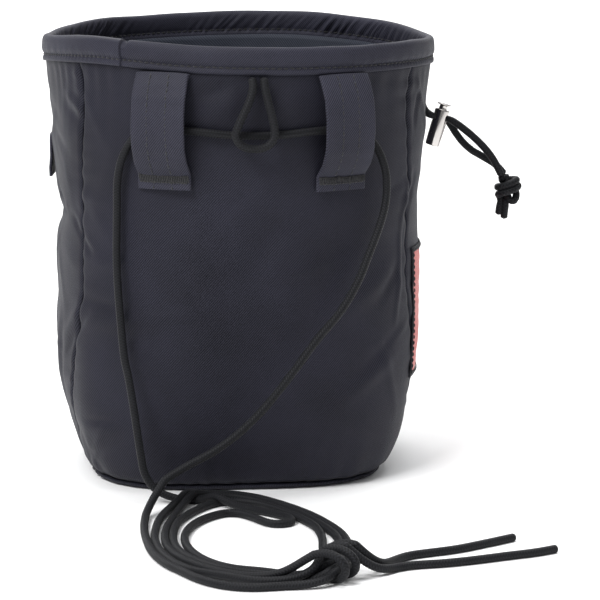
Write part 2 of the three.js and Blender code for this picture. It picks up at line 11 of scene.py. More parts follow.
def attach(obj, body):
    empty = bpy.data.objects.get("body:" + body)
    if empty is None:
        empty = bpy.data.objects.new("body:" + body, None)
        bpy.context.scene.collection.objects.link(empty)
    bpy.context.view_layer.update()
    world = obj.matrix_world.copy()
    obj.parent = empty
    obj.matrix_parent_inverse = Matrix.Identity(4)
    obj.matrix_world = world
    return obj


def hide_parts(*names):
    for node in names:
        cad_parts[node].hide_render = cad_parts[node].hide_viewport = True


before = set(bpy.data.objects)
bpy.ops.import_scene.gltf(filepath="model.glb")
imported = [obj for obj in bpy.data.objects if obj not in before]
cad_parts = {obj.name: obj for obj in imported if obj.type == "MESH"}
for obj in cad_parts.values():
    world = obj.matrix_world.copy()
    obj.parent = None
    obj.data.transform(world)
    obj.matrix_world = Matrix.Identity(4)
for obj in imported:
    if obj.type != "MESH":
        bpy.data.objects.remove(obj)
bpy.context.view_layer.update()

MM = 0.001
BAG_HEIGHT = 163 * MM
RIM_RADIUS = 73 * MM
HEM_HEIGHT = 9.8 * MM
HEM_STEP = 1.4 * MM
HEM_LAP = 1.0 * MM
LAP_TURN = -39.0
BASE_THICKNESS = 2.4 * MM
CLEARANCE = 0.3 * MM
CLOTH = 0.7 * MM
LINING_INSET = 1.9 * MM
WALL_RADIUS = RIM_RADIUS - HEM_STEP
HEM_BOTTOM = BAG_HEIGHT - HEM_HEIGHT
WALL_TOP = HEM_BOTTOM - CLEARANCE
WALL_FOOT = BASE_THICKNESS + CLEARANCE
WEBBING_WIDTH = 20 * MM
WEBBING_THICKNESS = 1.6 * MM
LOOP_LENGTH = 41 * MM
LOOP_ROOM = 6.2 * MM
LOOP_TURN = 26.5
CORD = 2.8 * MM
CORD_RADIUS = CORD / 2
CORD_STEP = 1.4 * MM

# The camera stands where the photograph was taken from.
CAMERA_TURN = math.radians(-5.4606)
CAMERA_DISTANCE = 1.103
CAMERA_HEIGHT = 0.255
CAMERA_PITCH = math.radians(9.9831)
CAMERA_ASIDE = 0.022878
CAMERA_LENS = 177.66

# Cross sections of the bag, as shares of the wall's height and of its radius at the hem.
SECTION_COLUMNS = ("height", "side", "back", "front", "drift", "square", "seam")
SECTIONS = np.array([
    (0.000, 0.775, 0.770, 0.765, -0.036, 3.2, 76),
    (0.018, 0.800, 0.790, 0.785, -0.033, 3.2, 76),
    (0.050, 0.835, 0.815, 0.815, -0.030, 3.1, 75),
    (0.100, 0.872, 0.845, 0.855, -0.026, 3.0, 73),
    (0.160, 0.905, 0.870, 0.885, -0.022, 2.8, 68),
    (0.230, 0.930, 0.890, 0.910, -0.019, 2.6, 65),
    (0.330, 0.944, 0.905, 0.925, -0.016, 2.5, 62),
    (0.460, 0.944, 0.925, 0.930, -0.012, 2.4, 57),
    (0.580, 0.939, 0.940, 0.932, -0.010, 2.3, 58),
    (0.660, 0.940, 0.955, 0.940, -0.008, 2.3, 58),
    (0.740, 0.953, 0.965, 0.950, -0.006, 2.2, 58),
    (0.830, 0.973, 0.978, 0.970, -0.004, 2.1, 57),
    (0.920, 0.986, 0.990, 0.985, -0.002, 2.0, 56),
    (1.000, 1.000, 1.000, 1.000, 0.000, 2.0, 57),
])

# Dents of the walls: turn and spread in degrees from the middle of the back, height and tall as
# shares of the wall's height, depth as a share of its radius.
DENTS = (
    (-92, 0.625, 20, 0.035, 0.036),
    (-96, 0.860, 16, 0.050, 0.014),
    (-88, 0.440, 14, 0.050, 0.012),
    (-66, 0.300, 7, 0.130, 0.014),
    (76, 0.160, 12, 0.060, 0.018),
    (-72, 0.100, 8, 0.060, 0.016),
    (130, 0.420, 16, 0.090, 0.022),
    (-140, 0.330, 18, 0.080, 0.024),
    (172, 0.620, 14, 0.120, 0.018),
)

# Rise of the mouth round the hem: turn in degrees, rise as a share of the hem's height.
RIM_RISE = np.array([
    (-180, 0.15), (-135, 0.03), (-98, -0.18), (-66, 0.13), (-45, 0.24), (-22, 0.05),
    (12, -0.06), (58, -0.10), (96, -0.24), (133, 0.06), (158, 0.20), (180, 0.15),
])


# Camera

def make_camera():
    data = bpy.data.cameras.new("camera")
    data.lens = CAMERA_LENS
    data.sensor_width = 36
    camera = bpy.data.objects.new("camera", data)
    bpy.context.scene.collection.objects.link(camera)
    right = Vector((math.cos(CAMERA_TURN), math.sin(CAMERA_TURN), 0))
    ahead = Vector((-math.sin(CAMERA_TURN), math.cos(CAMERA_TURN), 0))
    camera.location = -ahead * CAMERA_DISTANCE + right * CAMERA_ASIDE
    camera.location.z = CAMERA_HEIGHT
    look = ahead * math.cos(CAMERA_PITCH) - Vector((0, 0, math.sin(CAMERA_PITCH)))
    camera.rotation_mode = "QUATERNION"
    camera.rotation_quaternion = look.to_track_quat("-Z", "Y")
    bpy.context.scene.camera = camera


make_camera()


# Meshes

def new_object(name, points, faces, uvs=None, smooth=True):
    """A mesh object; uvs holds one pair for each point."""
    mesh = bpy.data.meshes.new(name)
    mesh.from_pydata([tuple(p) for p in points], [], faces)
    if uvs is not None:
        layer = mesh.uv_layers.new(name="UVMap")
        corners = np.zeros(len(mesh.loops), np.int32)
        mesh.loops.foreach_get("vertex_index", corners)
        layer.data.foreach_set("uv", np.asarray(uvs, np.float32)[corners].ravel())
    mesh.polygons.foreach_set("use_smooth", [smooth] * len(mesh.polygons))
    mesh.update()
    obj = bpy.data.objects.new(name, mesh)
    bpy.context.scene.collection.objects.link(obj)
    return obj


def grid_faces(columns, rows, around=False):
    """Quads of a grid whose point (i, j) has the index i * (rows + 1) + j."""
    faces = []
    width = columns if around else columns + 1
    for i in range(columns):
        left = i * (rows + 1)
        right = ((i + 1) % width) * (rows + 1)
        faces += [(left + j, right + j, right + j + 1, left + j + 1) for j in range(rows)]
    return faces


def add_modifier(obj, kind, **values):
    modifier = obj.modifiers.new(kind.lower(), kind)
    for key, value in values.items():
        setattr(modifier, key, value)
    return modifier


def apply_modifiers(obj):
    evaluated = obj.evaluated_get(bpy.context.evaluated_depsgraph_get())
    mesh = bpy.data.meshes.new_from_object(evaluated)
    obj.modifiers.clear()
    obj.data = mesh


# Cords

def smooth_line(points, spacing):
    """A Catmull-Rom curve through the points, with points about spacing apart."""
    p = np.asarray(points, float)
    p = np.vstack([2 * p[0] - p[1], p, 2 * p[-1] - p[-2]])
    share = np.linspace(0, 1, 24, endpoint=False)[:, None]
    parts = []
    for a, b, c, d in zip(p, p[1:], p[2:], p[3:]):
        cubic = -a + 3 * b - 3 * c + d
        square = 2 * a - 5 * b + 4 * c - d
        parts.append(0.5 * (2 * b + (c - a) * share + square * share ** 2 + cubic * share ** 3))
    return spaced(np.vstack([*parts, p[-2][None]]), spacing)


def spaced(line, spacing):
    steps = np.linalg.norm(np.diff(line, axis=0), axis=1)
    along = np.concatenate([[0], np.cumsum(steps)])
    count = max(2, int(round(along[-1] / spacing)) + 1)
    at = np.linspace(0, along[-1], count)
    return np.stack([np.interp(at, along, line[:, k]) for k in range(3)], axis=1)


def length_of(line):
    return float(np.linalg.norm(np.diff(line, axis=0), axis=1).sum())


BRAID_SIDES = 16
BRAID_STRANDS = 4
BRAID_PITCH = 1.05 * MM
BRAID_RELIEF = 0.05


def braided_tube(name, line, radius=CORD_RADIUS, spacing=0.27 * MM, squeeze=None):
    """A braided cord along a line, with rounded ends. squeeze(points) gives each ring's size."""
    line = spaced(line, spacing)
    count = len(line)
    ahead = np.gradient(line, axis=0)
    ahead /= np.linalg.norm(ahead, axis=1)[:, None]
    side = np.zeros_like(line)
    start = np.cross(ahead[0], (0, 0, 1))
    if np.linalg.norm(start) < 0.1:
        start = np.cross(ahead[0], (1, 0, 0))
    side[0] = start / np.linalg.norm(start)
    for i in range(1, count):
        turned = side[i - 1] - ahead[i] * side[i - 1].dot(ahead[i])
        side[i] = turned / np.linalg.norm(turned)
    over = np.cross(ahead, side)
    along = np.arange(count) * (length_of(line) / (count - 1))
    angle = np.linspace(0, 2 * math.pi, BRAID_SIDES, endpoint=False)
    one = 2 * math.pi * (along[:, None] / BRAID_PITCH + BRAID_STRANDS * angle[None] / (2 * math.pi))
    two = 2 * math.pi * (along[:, None] / BRAID_PITCH - BRAID_STRANDS * angle[None] / (2 * math.pi))
    size = radius * (1 + BRAID_RELIEF * (np.maximum(np.cos(one), np.cos(two)) - 0.4))
    from_end = np.minimum(along, along[-1] - along)
    round_off = np.sqrt(np.clip(1 - (1 - np.minimum(from_end / (0.7 * radius), 1)) ** 2, 0.04, 1))
    size *= round_off[:, None]
    if squeeze is not None:
        size *= squeeze(line)[:, None]
    ring = side[:, None] * np.cos(angle)[None, :, None]
    ring = ring + over[:, None] * np.sin(angle)[None, :, None]
    points = (line[:, None] + ring * size[..., None]).reshape(-1, 3)
    faces = []
    for i in range(count - 1):
        a = i * BRAID_SIDES
        b = a + BRAID_SIDES
        for k in range(BRAID_SIDES):
            n = (k + 1) % BRAID_SIDES
            faces.append((a + k, a + n, b + n, b + k))
    faces.append(tuple(range(BRAID_SIDES - 1, -1, -1)))
    last = (count - 1) * BRAID_SIDES
    faces.append(tuple(range(last, last + BRAID_SIDES)))
    uvs = np.stack([np.repeat(along, BRAID_SIDES), np.tile(angle / (2 * math.pi), count)], axis=1)
    return new_object(name, points, faces, uvs), line


# Routes of the waist cord's two drops, in millimetres. The left one runs on round the coil's
# folded end.
LEFT_DROP = [
    (-37.7, -63.1, 132.2), (-41.2, -61.2, 130.6), (-44.0, -59.6, 126.8), (-46.3, -58.3, 121.4),
    (-47.6, -57.4, 114.0), (-47.8, -57.0, 104.1), (-48.1, -57.0, 87.6), (-47.8, -58.0, 76.5),
    (-47.1, -59.0, 65.5), (-46.0, -61.5, 52.1), (-44.5, -64.0, 44.2), (-42.9, -67.0, 33.7),
    (-41.6, -68.6, 24.0), (-40.6, -69.4, 17.0), (-39.6, -70.0, 11.4), (-37.8, -70.6, 6.6),
    (-34.6, -71.0, 3.2), (-30.2, -71.2, 1.6), (-23.6, -71.7, 1.4), (-17.8, -74.0, 1.4),
    (-12.8, -78.8, 1.4), (-7.6, -83.6, 1.4), (-2.4, -88.2, 1.4), (2.6, -92.8, 1.4),
    (7.0, -97.2, 1.4), (10.2, -101.8, 1.4), (10.6, -107.0, 1.4), (7.0, -110.6, 1.4),
    (2.6, -109.6, 1.4), (-0.4, -104.6, 1.4), (-3.4, -98.4, 1.4), (-7.2, -92.8, 1.4),
]
RIGHT_DROP = [
    (37.7, -63.1, 131.1), (41.0, -61.6, 129.8), (43.8, -60.4, 127.0), (46.4, -59.6, 122.4),
    (48.3, -59.0, 115.3), (48.1, -59.5, 106.5), (45.7, -62.0, 98.1), (40.8, -66.5, 87.0),
    (36.9, -69.0, 78.5), (30.7, -72.0, 69.0), (21.6, -74.5, 58.8), (13.2, -76.0, 47.9),
    (3.5, -77.0, 36.0), (-5.3, -78.0, 27.5), (-14.4, -79.0, 21.0), (-24.5, -80.5, 15.9),
    (-32.1, -82.4, 11.8), (-36.4, -85.2, 8.0), (-38.9, -89.4, 4.8), (-40.3, -94.4, 2.4),
]
UPPER_TAIL = [
    (33.2, -170.4, 4.4), (38.0, -162.6, 2.2), (43.6, -156.0, 1.6),
    (52.2, -152.7, 1.6), (60.9, -149.6, 1.6), (71.0, -143.3, 1.6), (83.4, -135.1, 1.6),
]
LOWER_TAIL = [
    (32.4, -176.4, 3.6), (37.8, -170.6, 1.8), (44.7, -167.8, 1.6),
    (53.4, -167.0, 1.6), (64.3, -164.0, 1.6), (76.2, -159.5, 1.6), (86.9, -156.0, 1.6),
    (94.9, -151.5, 1.6),
]

# The coil's turns. angle runs on round the coil in degrees from +X, out is a share of the coil's
# half size, and layer is the height above the floor in cord diameters.
COIL_MIDDLE = (-8.0, -130.0)
COIL_REACH = (33.3, 59.5)
RIGHT_TURNS = (
    (152, 1.11, 0.0), (164, 1.045, 0.0), (180, 0.99, 0.0), (204, 0.95, 0.0), (221, 0.955, 0.0),
    (236, 0.995, 0.0), (250, 1.02, 0.0), (266, 1.02, 0.0), (281, 1.01, 0.1), (292, 1.07, 0.5),
    (304, 1.19, 1.0), (312, 1.20, 1.0), (320, 1.17, 1.0), (331, 1.07, 1.0), (345, 1.025, 1.0),
    (360, 0.985, 1.0), (372, 0.95, 1.0), (383, 0.915, 1.0), (402, 0.895, 1.0), (420, 0.92, 1.0),
    (434, 1.01, 1.0), (447, 1.08, 1.0), (456, 1.12, 1.0), (465, 1.14, 1.0), (476, 1.11, 1.0),
    (489, 1.05, 1.0), (505, 0.99, 0.9), (522, 0.93, 0.8), (540, 0.92, 0.8), (562, 0.94, 1.0),
    (574, 0.93, 1.0), (586, 0.89, 0.7), (596, 0.845, 0.2), (606, 0.82, 0.0), (618, 0.85, 0.0),
    (630, 0.89, 0.0), (642, 0.92, 0.5), (651, 0.98, 1.3), (659, 1.06, 2.0), (665, 1.10, 2.1),
)
LEFT_TURNS = (
    (102, 0.655, 0.0), (115, 0.63, 0.0), (145, 0.62, 0.0), (166, 0.62, 0.0), (187, 0.62, 0.0),
    (205, 0.62, 0.0), (229, 0.635, 0.0), (250, 0.655, 0.0), (270, 0.665, 0.0), (283, 0.73, 0.2),
    (294, 0.89, 0.6), (304, 1.05, 1.0), (312, 1.08, 1.0), (319, 1.05, 1.0), (326, 0.93, 0.6),
    (335, 0.80, 0.1), (346, 0.775, 0.0), (365, 0.79, 0.0), (382, 0.815, 0.0), (396, 0.82, 0.0),
    (412, 0.83, 0.0), (436, 0.89, 0.0), (450, 0.93, 0.0), (462, 0.92, 0.0), (474, 0.86, 0.0),
    (492, 0.80, 0.0), (508, 0.785, 0.0), (525, 0.75, 0.0), (543, 0.735, 0.0), (562, 0.73, 0.0),
    (585, 0.70, 0.0), (604, 0.70, 0.0), (630, 0.735, 0.0), (643, 0.81, 0.2), (653, 0.96, 0.6),
    (663, 1.12, 1.0), (672, 1.14, 1.0), (680, 1.11, 0.8), (690, 1.03, 0.3), (700, 0.99, 0.0),
    (710, 0.985, 0.0), (724, 0.97, 0.0), (736, 0.92, 0.0), (752, 0.86, 0.0), (774, 0.875, 0.0),
    (790, 0.95, 0.0), (802, 1.01, 0.0), (812, 1.06, 0.1), (822, 1.085, 0.5), (830, 1.08, 0.8),
    (838, 1.04, 0.8), (848, 0.96, 0.4), (860, 0.88, 0.0), (875, 0.825, 0.0), (892, 0.81, 0.0),
    (908, 0.815, 0.0), (925, 0.80, 0.0), (945, 0.76, 0.0), (966, 0.765, 0.0), (990, 0.81, 0.0),
    (1002, 0.87, 0.5), (1010, 0.96, 1.4),
)
# The hitch: each cord goes over the bundle, under it and over again. turn is degrees round the
# bundle, from its outer side; step is how far along the bundle, in cord diameters.
HITCH_MIDDLE = (13.6, -185.0, 6.0)
HITCH_AHEAD = (0.57, 0.82)
HITCH_REACH = (6.8, 4.6)
HITCH_TURNS = {
    "left": (
        (130, -0.5), (90, 0.0), (45, 0.1), (0, 0.3), (-45, 0.7), (-90, 1.4), (-135, 2.2),
        (-180, 2.9), (-225, 3.5), (-270, 3.9), (-315, 4.3), (-340, 4.7),
    ),
    "right": (
        (130, 2.0), (90, 2.5), (45, 2.6), (0, 2.8), (-45, 3.1), (-90, 3.7), (-135, 4.1),
        (-180, 4.5), (-225, 4.8), (-270, 5.2), (-315, 5.7), (-340, 6.1),
    ),
}


def coil_points(turns):
    """The coil's turns as points every few degrees, from the rows of a table."""
    angle, out, layer = np.array(turns, float).T
    along = np.concatenate([[0], np.cumsum(np.maximum(np.abs(np.diff(angle)), 8))])
    at = np.arange(0, along[-1], 6.0)
    angle, out, layer = (np.interp(at, along, column) for column in (angle, out, layer))
    turned = np.radians(angle)
    x = COIL_MIDDLE[0] + COIL_REACH[0] * out * np.cos(turned)
    y = COIL_MIDDLE[1] + COIL_REACH[1] * out * np.sin(turned)
    z = (CORD_RADIUS + layer * CORD) / MM
    return np.stack([x, y, z], axis=1)


def hitch_points(side):
    turn, step = np.array(HITCH_TURNS[side], float).T
    at = np.arange(turn[0], turn[-1] - 1, -15.0)
    step = np.interp(-at, -turn, step)
    turned = np.radians(at)
    ahead = np.array([*HITCH_AHEAD, 0.0])
    outward = np.array([ahead[1], -ahead[0], 0.0])
    points = np.array(HITCH_MIDDLE) + outward * (HITCH_REACH[0] * np.cos(turned))[:, None]
    points += ahead * (step * CORD / MM)[:, None]
    points[:, 2] += HITCH_REACH[1] * np.sin(turned)
    return points


# How far a point stands off the middle of its neighbours at a bend of two diameters. Sharper
# bends are eased more strongly, but aren't ruled out.
SHARPEST = CORD_STEP ** 2 / (4 * CORD)


def settle(lines, fixed, rounds):
    """Lets cords sink onto the floor and onto each other without passing through each other."""
    sizes = [len(line) for line in lines]
    place = np.vstack(lines)
    plan = place.copy()
    held = np.concatenate(fixed)
    free = np.where(held, 0.0, 1.0)[:, None]
    owner = np.repeat(np.arange(len(lines)), sizes)
    index = np.arange(len(place))
    joined = owner[1:] == owner[:-1]
    rest = np.linalg.norm(np.diff(place, axis=0), axis=1)
    spacing = float(np.median(rest))
    apart = int(math.ceil(3 * CORD / spacing))
    low = np.flatnonzero(place[:, 2] < 0.03)
    own = owner[low][:, None] == owner[low][None]
    near_own = own & (np.abs(index[low][:, None] - index[low][None]) <= apart)
    for number in range(rounds):
        falling = number < rounds * 0.75
        if falling:
            place[:, 2] -= 0.12 * MM * free[:, 0]
        for repeat in range(2):
            some = place[low]
            square = (some ** 2).sum(1)
            far = square[:, None] + square[None] - 2 * some @ some.T
            far[near_own] = 1.0
            a, b = np.nonzero(np.triu(far < (0.99 * CORD) ** 2, 1))
            gap = some[a] - some[b]
            distance = np.maximum(np.linalg.norm(gap, axis=1), 1e-6)
            push = gap / distance[:, None] * ((0.99 * CORD - distance) * 0.35)[:, None]
            shift = np.zeros_like(some)
            np.add.at(shift, a, push)
            np.add.at(shift, b, -push)
            place[low] += np.clip(shift, -0.5 * MM, 0.5 * MM) * free[low]
            ends = joined[1:] & joined[:-1]
            middle = (place[2:] + place[:-2]) / 2 - place[1:-1]
            bend = np.where(ends[:, None], middle, 0) * free[1:-1]
            tight = np.clip(np.linalg.norm(middle, axis=1) / SHARPEST - 0.8, 0, 1)[:, None]
            place[1:-1] += bend * ((0.2, 0.2, 0.35) + 0.4 * tight)
            span = np.diff(place, axis=0)
            long = np.linalg.norm(span, axis=1)
            fix = np.where(joined, (long - rest) / np.maximum(long, 1e-9), 0)[:, None] * span * 0.4
            place[:-1] += fix * free[:-1]
            place[1:] -= fix * free[1:]
            place[:, :2] += (plan[:, :2] - place[:, :2]) * 0.02 * free
            place[:, 2] = np.maximum(place[:, 2], CORD_RADIUS)
    return np.split(place, np.cumsum(sizes)[:-1])


def waist_lines():
    """The two halves of the waist cord, from the belt loops to their free ends."""
    lines = []
    fixed = []
    for side, drop, turns, tail in (
        ("left", LEFT_DROP, LEFT_TURNS, LOWER_TAIL), ("right", RIGHT_DROP, RIGHT_TURNS, UPPER_TAIL),
    ):
        hitch = hitch_points(side)
        coil = np.vstack([np.array(drop), coil_points(turns)])
        line = smooth_line(np.vstack([coil, hitch, np.array(tail)]) * MM, CORD_STEP)
        along = np.arange(len(line)) * CORD_STEP
        start = length_of(smooth_line(coil * MM, CORD_STEP)) + 7 * MM
        end = start + length_of(smooth_line(hitch * MM, CORD_STEP)) - 2 * MM
        in_hitch = (along > start) & (along < end)
        hanging = (line[:, 2] > 11 * MM) & (along < 0.3)
        lines.append(line)
        fixed.append(in_hitch | hanging)
    return settle(lines, fixed, 160)


def cord_spread(name, line, **facts):
    tube, path = braided_tube(name, line)
    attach(tube, "bag")
    return tube


left_line, right_line = waist_lines()
for side, line in (("left", left_line), ("right", right_line)):
    print(side, "waist cord", round(length_of(line), 4))
COILED = {"far_end": "bare", "stiffness": "limp", "lay": "coiled"}
waist_left = cord_spread("waist_cord_left_half", left_line, **COILED)
waist_right = cord_spread("waist_cord_right_half", right_line, **COILED)
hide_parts("waist_cord_left", "waist_cord_coil", "waist_cord_tail_lower")
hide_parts("waist_cord_right", "waist_cord_tail_upper")


# The bag's wall

SHARES = np.linspace(0, 1, 901)
TURNS = np.linspace(-180, 180, 721)


def blurred(values, reach, around=False):
    """Rounds the corners of a dense table."""
    kernel = np.exp(-0.5 * (np.arange(-3 * reach, 3 * reach + 1) / reach) ** 2)
    kernel /= kernel.sum()
    if around:
        padded = np.concatenate([values[:-1]] * 3 + [values[-1:]])
        count = len(values) - 1
        return np.convolve(padded, kernel, "same")[count:2 * count + 1]
    ends = 2 * values[0] - values[3 * reach:0:-1], 2 * values[-1] - values[-2:-3 * reach - 2:-1]
    return np.convolve(np.concatenate([ends[0], values, ends[1]]), kernel, "valid")


SECTION = {
    name: blurred(np.interp(SHARES, SECTIONS[:, 0], SECTIONS[:, number]), 9)
    for number, name in enumerate(SECTION_COLUMNS) if number
}
RISE = blurred(np.interp(TURNS, RIM_RISE[:, 0], RIM_RISE[:, 1]), 10, around=True) * HEM_HEIGHT


def section_at(name, share):
    return np.interp(share, SHARES, SECTION[name])


def wrapped(turn):
    return (np.asarray(turn, float) + 180) % 360 - 180


def rise_at(turn):
    return np.interp(wrapped(turn), TURNS, RISE)


def wall_place(turn, share, out=0.0):
    """Points of the wall's outer face; out is measured outwards from it."""
    turn = np.asarray(turn, float)
    share = np.asarray(share, float)
    angle = np.radians(turn)
    depth = np.where(np.cos(angle) > 0, section_at("back", share), section_at("front", share))
    power = section_at("square", share)
    across = np.abs(np.sin(angle) / section_at("side", share)) ** power
    through = np.abs(np.cos(angle) / depth) ** power
    dent = 0.0
    for middle, height, spread, tall, deep in DENTS:
        off = wrapped(turn - middle) / spread
        dent = dent + deep * np.exp(-off ** 2 - ((share - height) / tall) ** 2)
    reach = WALL_RADIUS * ((across + through) ** (-1 / power) - dent) + out
    x = section_at("drift", share) * WALL_RADIUS + reach * np.sin(angle)
    z = WALL_FOOT + (WALL_TOP + rise_at(turn) * share - WALL_FOOT) * share
    return np.stack(np.broadcast_arrays(x, -reach * np.cos(angle), z), axis=-1)


def share_at(height):
    return (height - WALL_FOOT) / (WALL_TOP - WALL_FOOT)


# Folds seen in the cloth: where each starts and ends in degrees from the middle of the back and
# millimetres above the floor, its width and its depth in millimetres. A ridge has a negative depth.
FOLDS = (
    (-64, 98, -53, 87, 1.3, 0.7), (-62, 99, -51, 88, 2.2, -0.5), (-53, 82, -36, 86, 2.6, -0.8),
    (-54, 69, -38, 68, 1.8, 0.5), (-53, 61, -14, 68, 3.2, -0.9), (-52, 55, -24, 58, 3.0, 0.5),
    (-54, 64, -69, 48, 1.8, 0.9), (-57, 67, -72, 52, 2.4, -0.7), (-66, 143, -56, 138, 1.8, -0.8),
    (-68, 139, -57, 134, 2.0, 0.5), (-56, 145, -33, 147, 0.7, 0.25), (-58, 24, -44, 26, 1.4, 0.6),
    (-57, 20, -37, 25, 2.2, -0.7), (-52, 14, -38, 20, 2.0, 0.5), (-66, 8, -48, 14, 1.8, 0.7),
    (-15, 146, -5, 150, 2.2, 0.9), (-14, 139, -5, 143, 3.6, -1.0), (6, 140, 14, 145, 3.4, -0.8),
    (4, 147, 12, 149, 2.0, 0.5), (62, 147, 66, 139, 1.4, -0.7), (64, 144, 61, 130, 1.5, 0.8),
    (66, 140, 78, 124, 1.6, -0.7), (60, 114, 54, 97, 1.6, -0.8), (63, 112, 57, 96, 1.6, 0.6),
    (54, 97, 50, 60, 1.3, -0.6), (10, 101, -1, 84, 4.5, 0.8), (20, 104, 2, 76, 5.0, -0.6),
    (29, 98, 17, 54, 5.5, 0.9), (48, 81, 27, 64, 4.0, -0.8), (49, 48, 29, 33, 3.6, -0.9),
    (52, 56, 36, 44, 3.0, 0.6), (52, 82, 42, 69, 2.4, 0.7), (-37, 112, -33, 74, 4.5, 0.8),
    (-78, 60, -84, 30, 3.0, -0.6), (-74, 56, -80, 28, 2.2, 0.6), (-86, 110, -72, 100, 1.6, 0.9),
    (-88, 93, -70, 101, 1.6, -0.9), (-84, 128, -66, 122, 2.4, 0.6), (30, 20, 52, 14, 3.0, 0.6),
    (-20, 12, 20, 9, 4.0, 0.5), (70, 30, 96, 40, 3.0, 0.9), (74, 104, 110, 92, 2.6, 0.9),
    (80, 130, 108, 122, 2.4, -0.7), (92, 24, 128, 34, 3.4, -0.9), (116, 120, 146, 104, 3.2, 1.0),
    (120, 112, 150, 96, 3.0, -0.9), (128, 66, 166, 76, 4.0, 1.0), (132, 58, 168, 66, 3.4, -0.9),
    (150, 30, 176, 24, 3.2, 0.8), (-176, 120, -150, 108, 3.4, 1.0),
    (-174, 112, -146, 100, 3.2, -0.9),
    (-160, 56, -128, 48, 3.8, 1.1), (-156, 48, -124, 40, 3.4, -0.9),
    (-132, 96, -104, 108, 3.2, 0.9),
    (-128, 88, -102, 99, 3.0, -0.8), (-120, 26, -92, 20, 3.0, 0.8), (-112, 132, -98, 140, 2.4, 0.6),
    (160, 140, 176, 126, 2.8, -0.8), (100, 148, 112, 136, 2.4, 0.8),
    (-170, 80, -140, 84, 4.2, -0.7),
)
MEAN_RADIUS = 67 * MM
chance = np.random.default_rng(11)


def random_folds(count):
    """Fainter folds all over, fewer on the smooth middle of the back."""
    folds = []
    while len(folds) < count:
        turn, height = chance.uniform(-180, 180), chance.uniform(8, 146)
        if abs(turn) < 42 and chance.random() < 0.7:
            continue
        lean = chance.uniform(-1.2, 1.2)
        half = chance.uniform(6, 20)
        width = chance.uniform(1.3, 3.4)
        depth = chance.uniform(0.12, 0.42) * chance.choice([-1, 1])
        over = math.degrees(half * MM * math.cos(lean) / MEAN_RADIUS)
        up = half * math.sin(lean)
        folds.append((turn - over, height - up, turn + over, height + up, width, depth))
    return folds


ALL_FOLDS = list(FOLDS) + random_folds(150)
WAVES = [
    (chance.normal(size=3), chance.uniform(22, 70) * MM, chance.uniform(0, 6.28)) for _ in range(40)
]


def soft_noise(points, waves=WAVES):
    """A smooth random height of about -1 to 1 at each point."""
    height = np.zeros(points.shape[:-1])
    for direction, length, start in waves:
        direction = direction / np.linalg.norm(direction)
        height += np.sin(points @ direction * (2 * math.pi / length) + start)
    return height / math.sqrt(len(waves)) * 0.8


def fold_depth(turn, height):
    """How far the folds draw the wall in, in metres."""
    depth = np.zeros(np.broadcast(turn, height).shape)
    for turn_a, high_a, turn_b, high_b, width, deep in ALL_FOLDS:
        start = wrapped(turn - turn_a) * math.radians(1) * MEAN_RADIUS
        run = math.radians(turn_b - turn_a) * MEAN_RADIUS
        climb = (high_b - high_a) * MM
        up = height - high_a * MM
        share = np.clip((start * run + up * climb) / (run ** 2 + climb ** 2), 0, 1)
        apart = (start - share * run) ** 2 + (up - share * climb) ** 2
        fade = 0.35 + 0.65 * np.sin(math.pi * share)
        depth += deep * MM * fade * np.exp(-apart / (width * MM) ** 2)
    return depth


def ripple(along, length, seed):
    """Uneven puckers along a seam, about -1 to 1."""
    share = along / length
    phase = 0.9 * np.sin(share * 1.13 + seed) + 0.7 * np.sin(share * 0.47 + 2 * seed)
    swell = 0.7 + 0.3 * np.sin(share + seed)
    return np.sin(2 * math.pi * along / length + phase * 2.2) * swell


def cloth_out(turn, share, from_seam):
    """How far the wall's cloth stands off its plain shape."""
    plain = wall_place(turn, share)
    height = plain[..., 2]
    arc = np.radians(turn) * MEAN_RADIUS
    out = -fold_depth(turn, height) + 0.42 * MM * soft_noise(plain)
    seam = np.exp(-np.abs(from_seam) / (5 * MM)) * ripple(height, 7.5 * MM, 1.0 + np.sign(turn))
    out = out + 0.35 * MM * seam
    hidden = np.exp(-((height - 96 * MM) / (34 * MM)) ** 4)
    out = out - (1.5 - 1.0 * hidden) * MM * np.exp(-(from_seam / (0.9 * MM)) ** 2)
    below = WALL_TOP + rise_at(turn) - height
    out = out + 0.3 * MM * np.exp(-below / (9 * MM)) * ripple(arc, 8 * MM, 2.0)
    above = height - WALL_FOOT
    out = out + 0.4 * MM * np.exp(-above / (9 * MM)) * ripple(arc, 9.5 * MM, 3.0)
    out = out - 1.1 * MM * np.exp(-(above / (0.9 * MM)) ** 2)
    return out * (0.25 + 0.75 * np.clip(below / (3 * MM), 0, 1))


def wall_panel(name, node, across, start, end, label=None):
    share = np.concatenate([np.linspace(0, 0.03, 9)[:-1], np.linspace(0.03, 1.006, 141)])
    mix = np.linspace(0, 1, across + 1)
    mix = mix - 0.045 * np.sin(2 * math.pi * mix) / math.pi
    seam = section_at("seam", share)
    first, last = start(seam), end(seam)
    turn = first[None] + (last - first)[None] * mix[:, None]
    share = np.broadcast_to(share, turn.shape)
    gap = np.minimum(turn - first, last - turn) * math.radians(1) * MEAN_RADIUS
    points = wall_place(turn, share, cloth_out(turn, share, gap))
    uvs = np.stack([np.radians(turn) * MEAN_RADIUS, points[..., 2]], axis=-1)
    rows = points.shape[1] - 1
    panel = new_object(name, points.reshape(-1, 3), grid_faces(across, rows), uvs.reshape(-1, 2))
    add_modifier(panel, "SOLIDIFY", thickness=CLOTH, offset=-1)
    apply_modifiers(panel)
    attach(panel, "bag")
    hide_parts(node)
    return panel


# Finishes

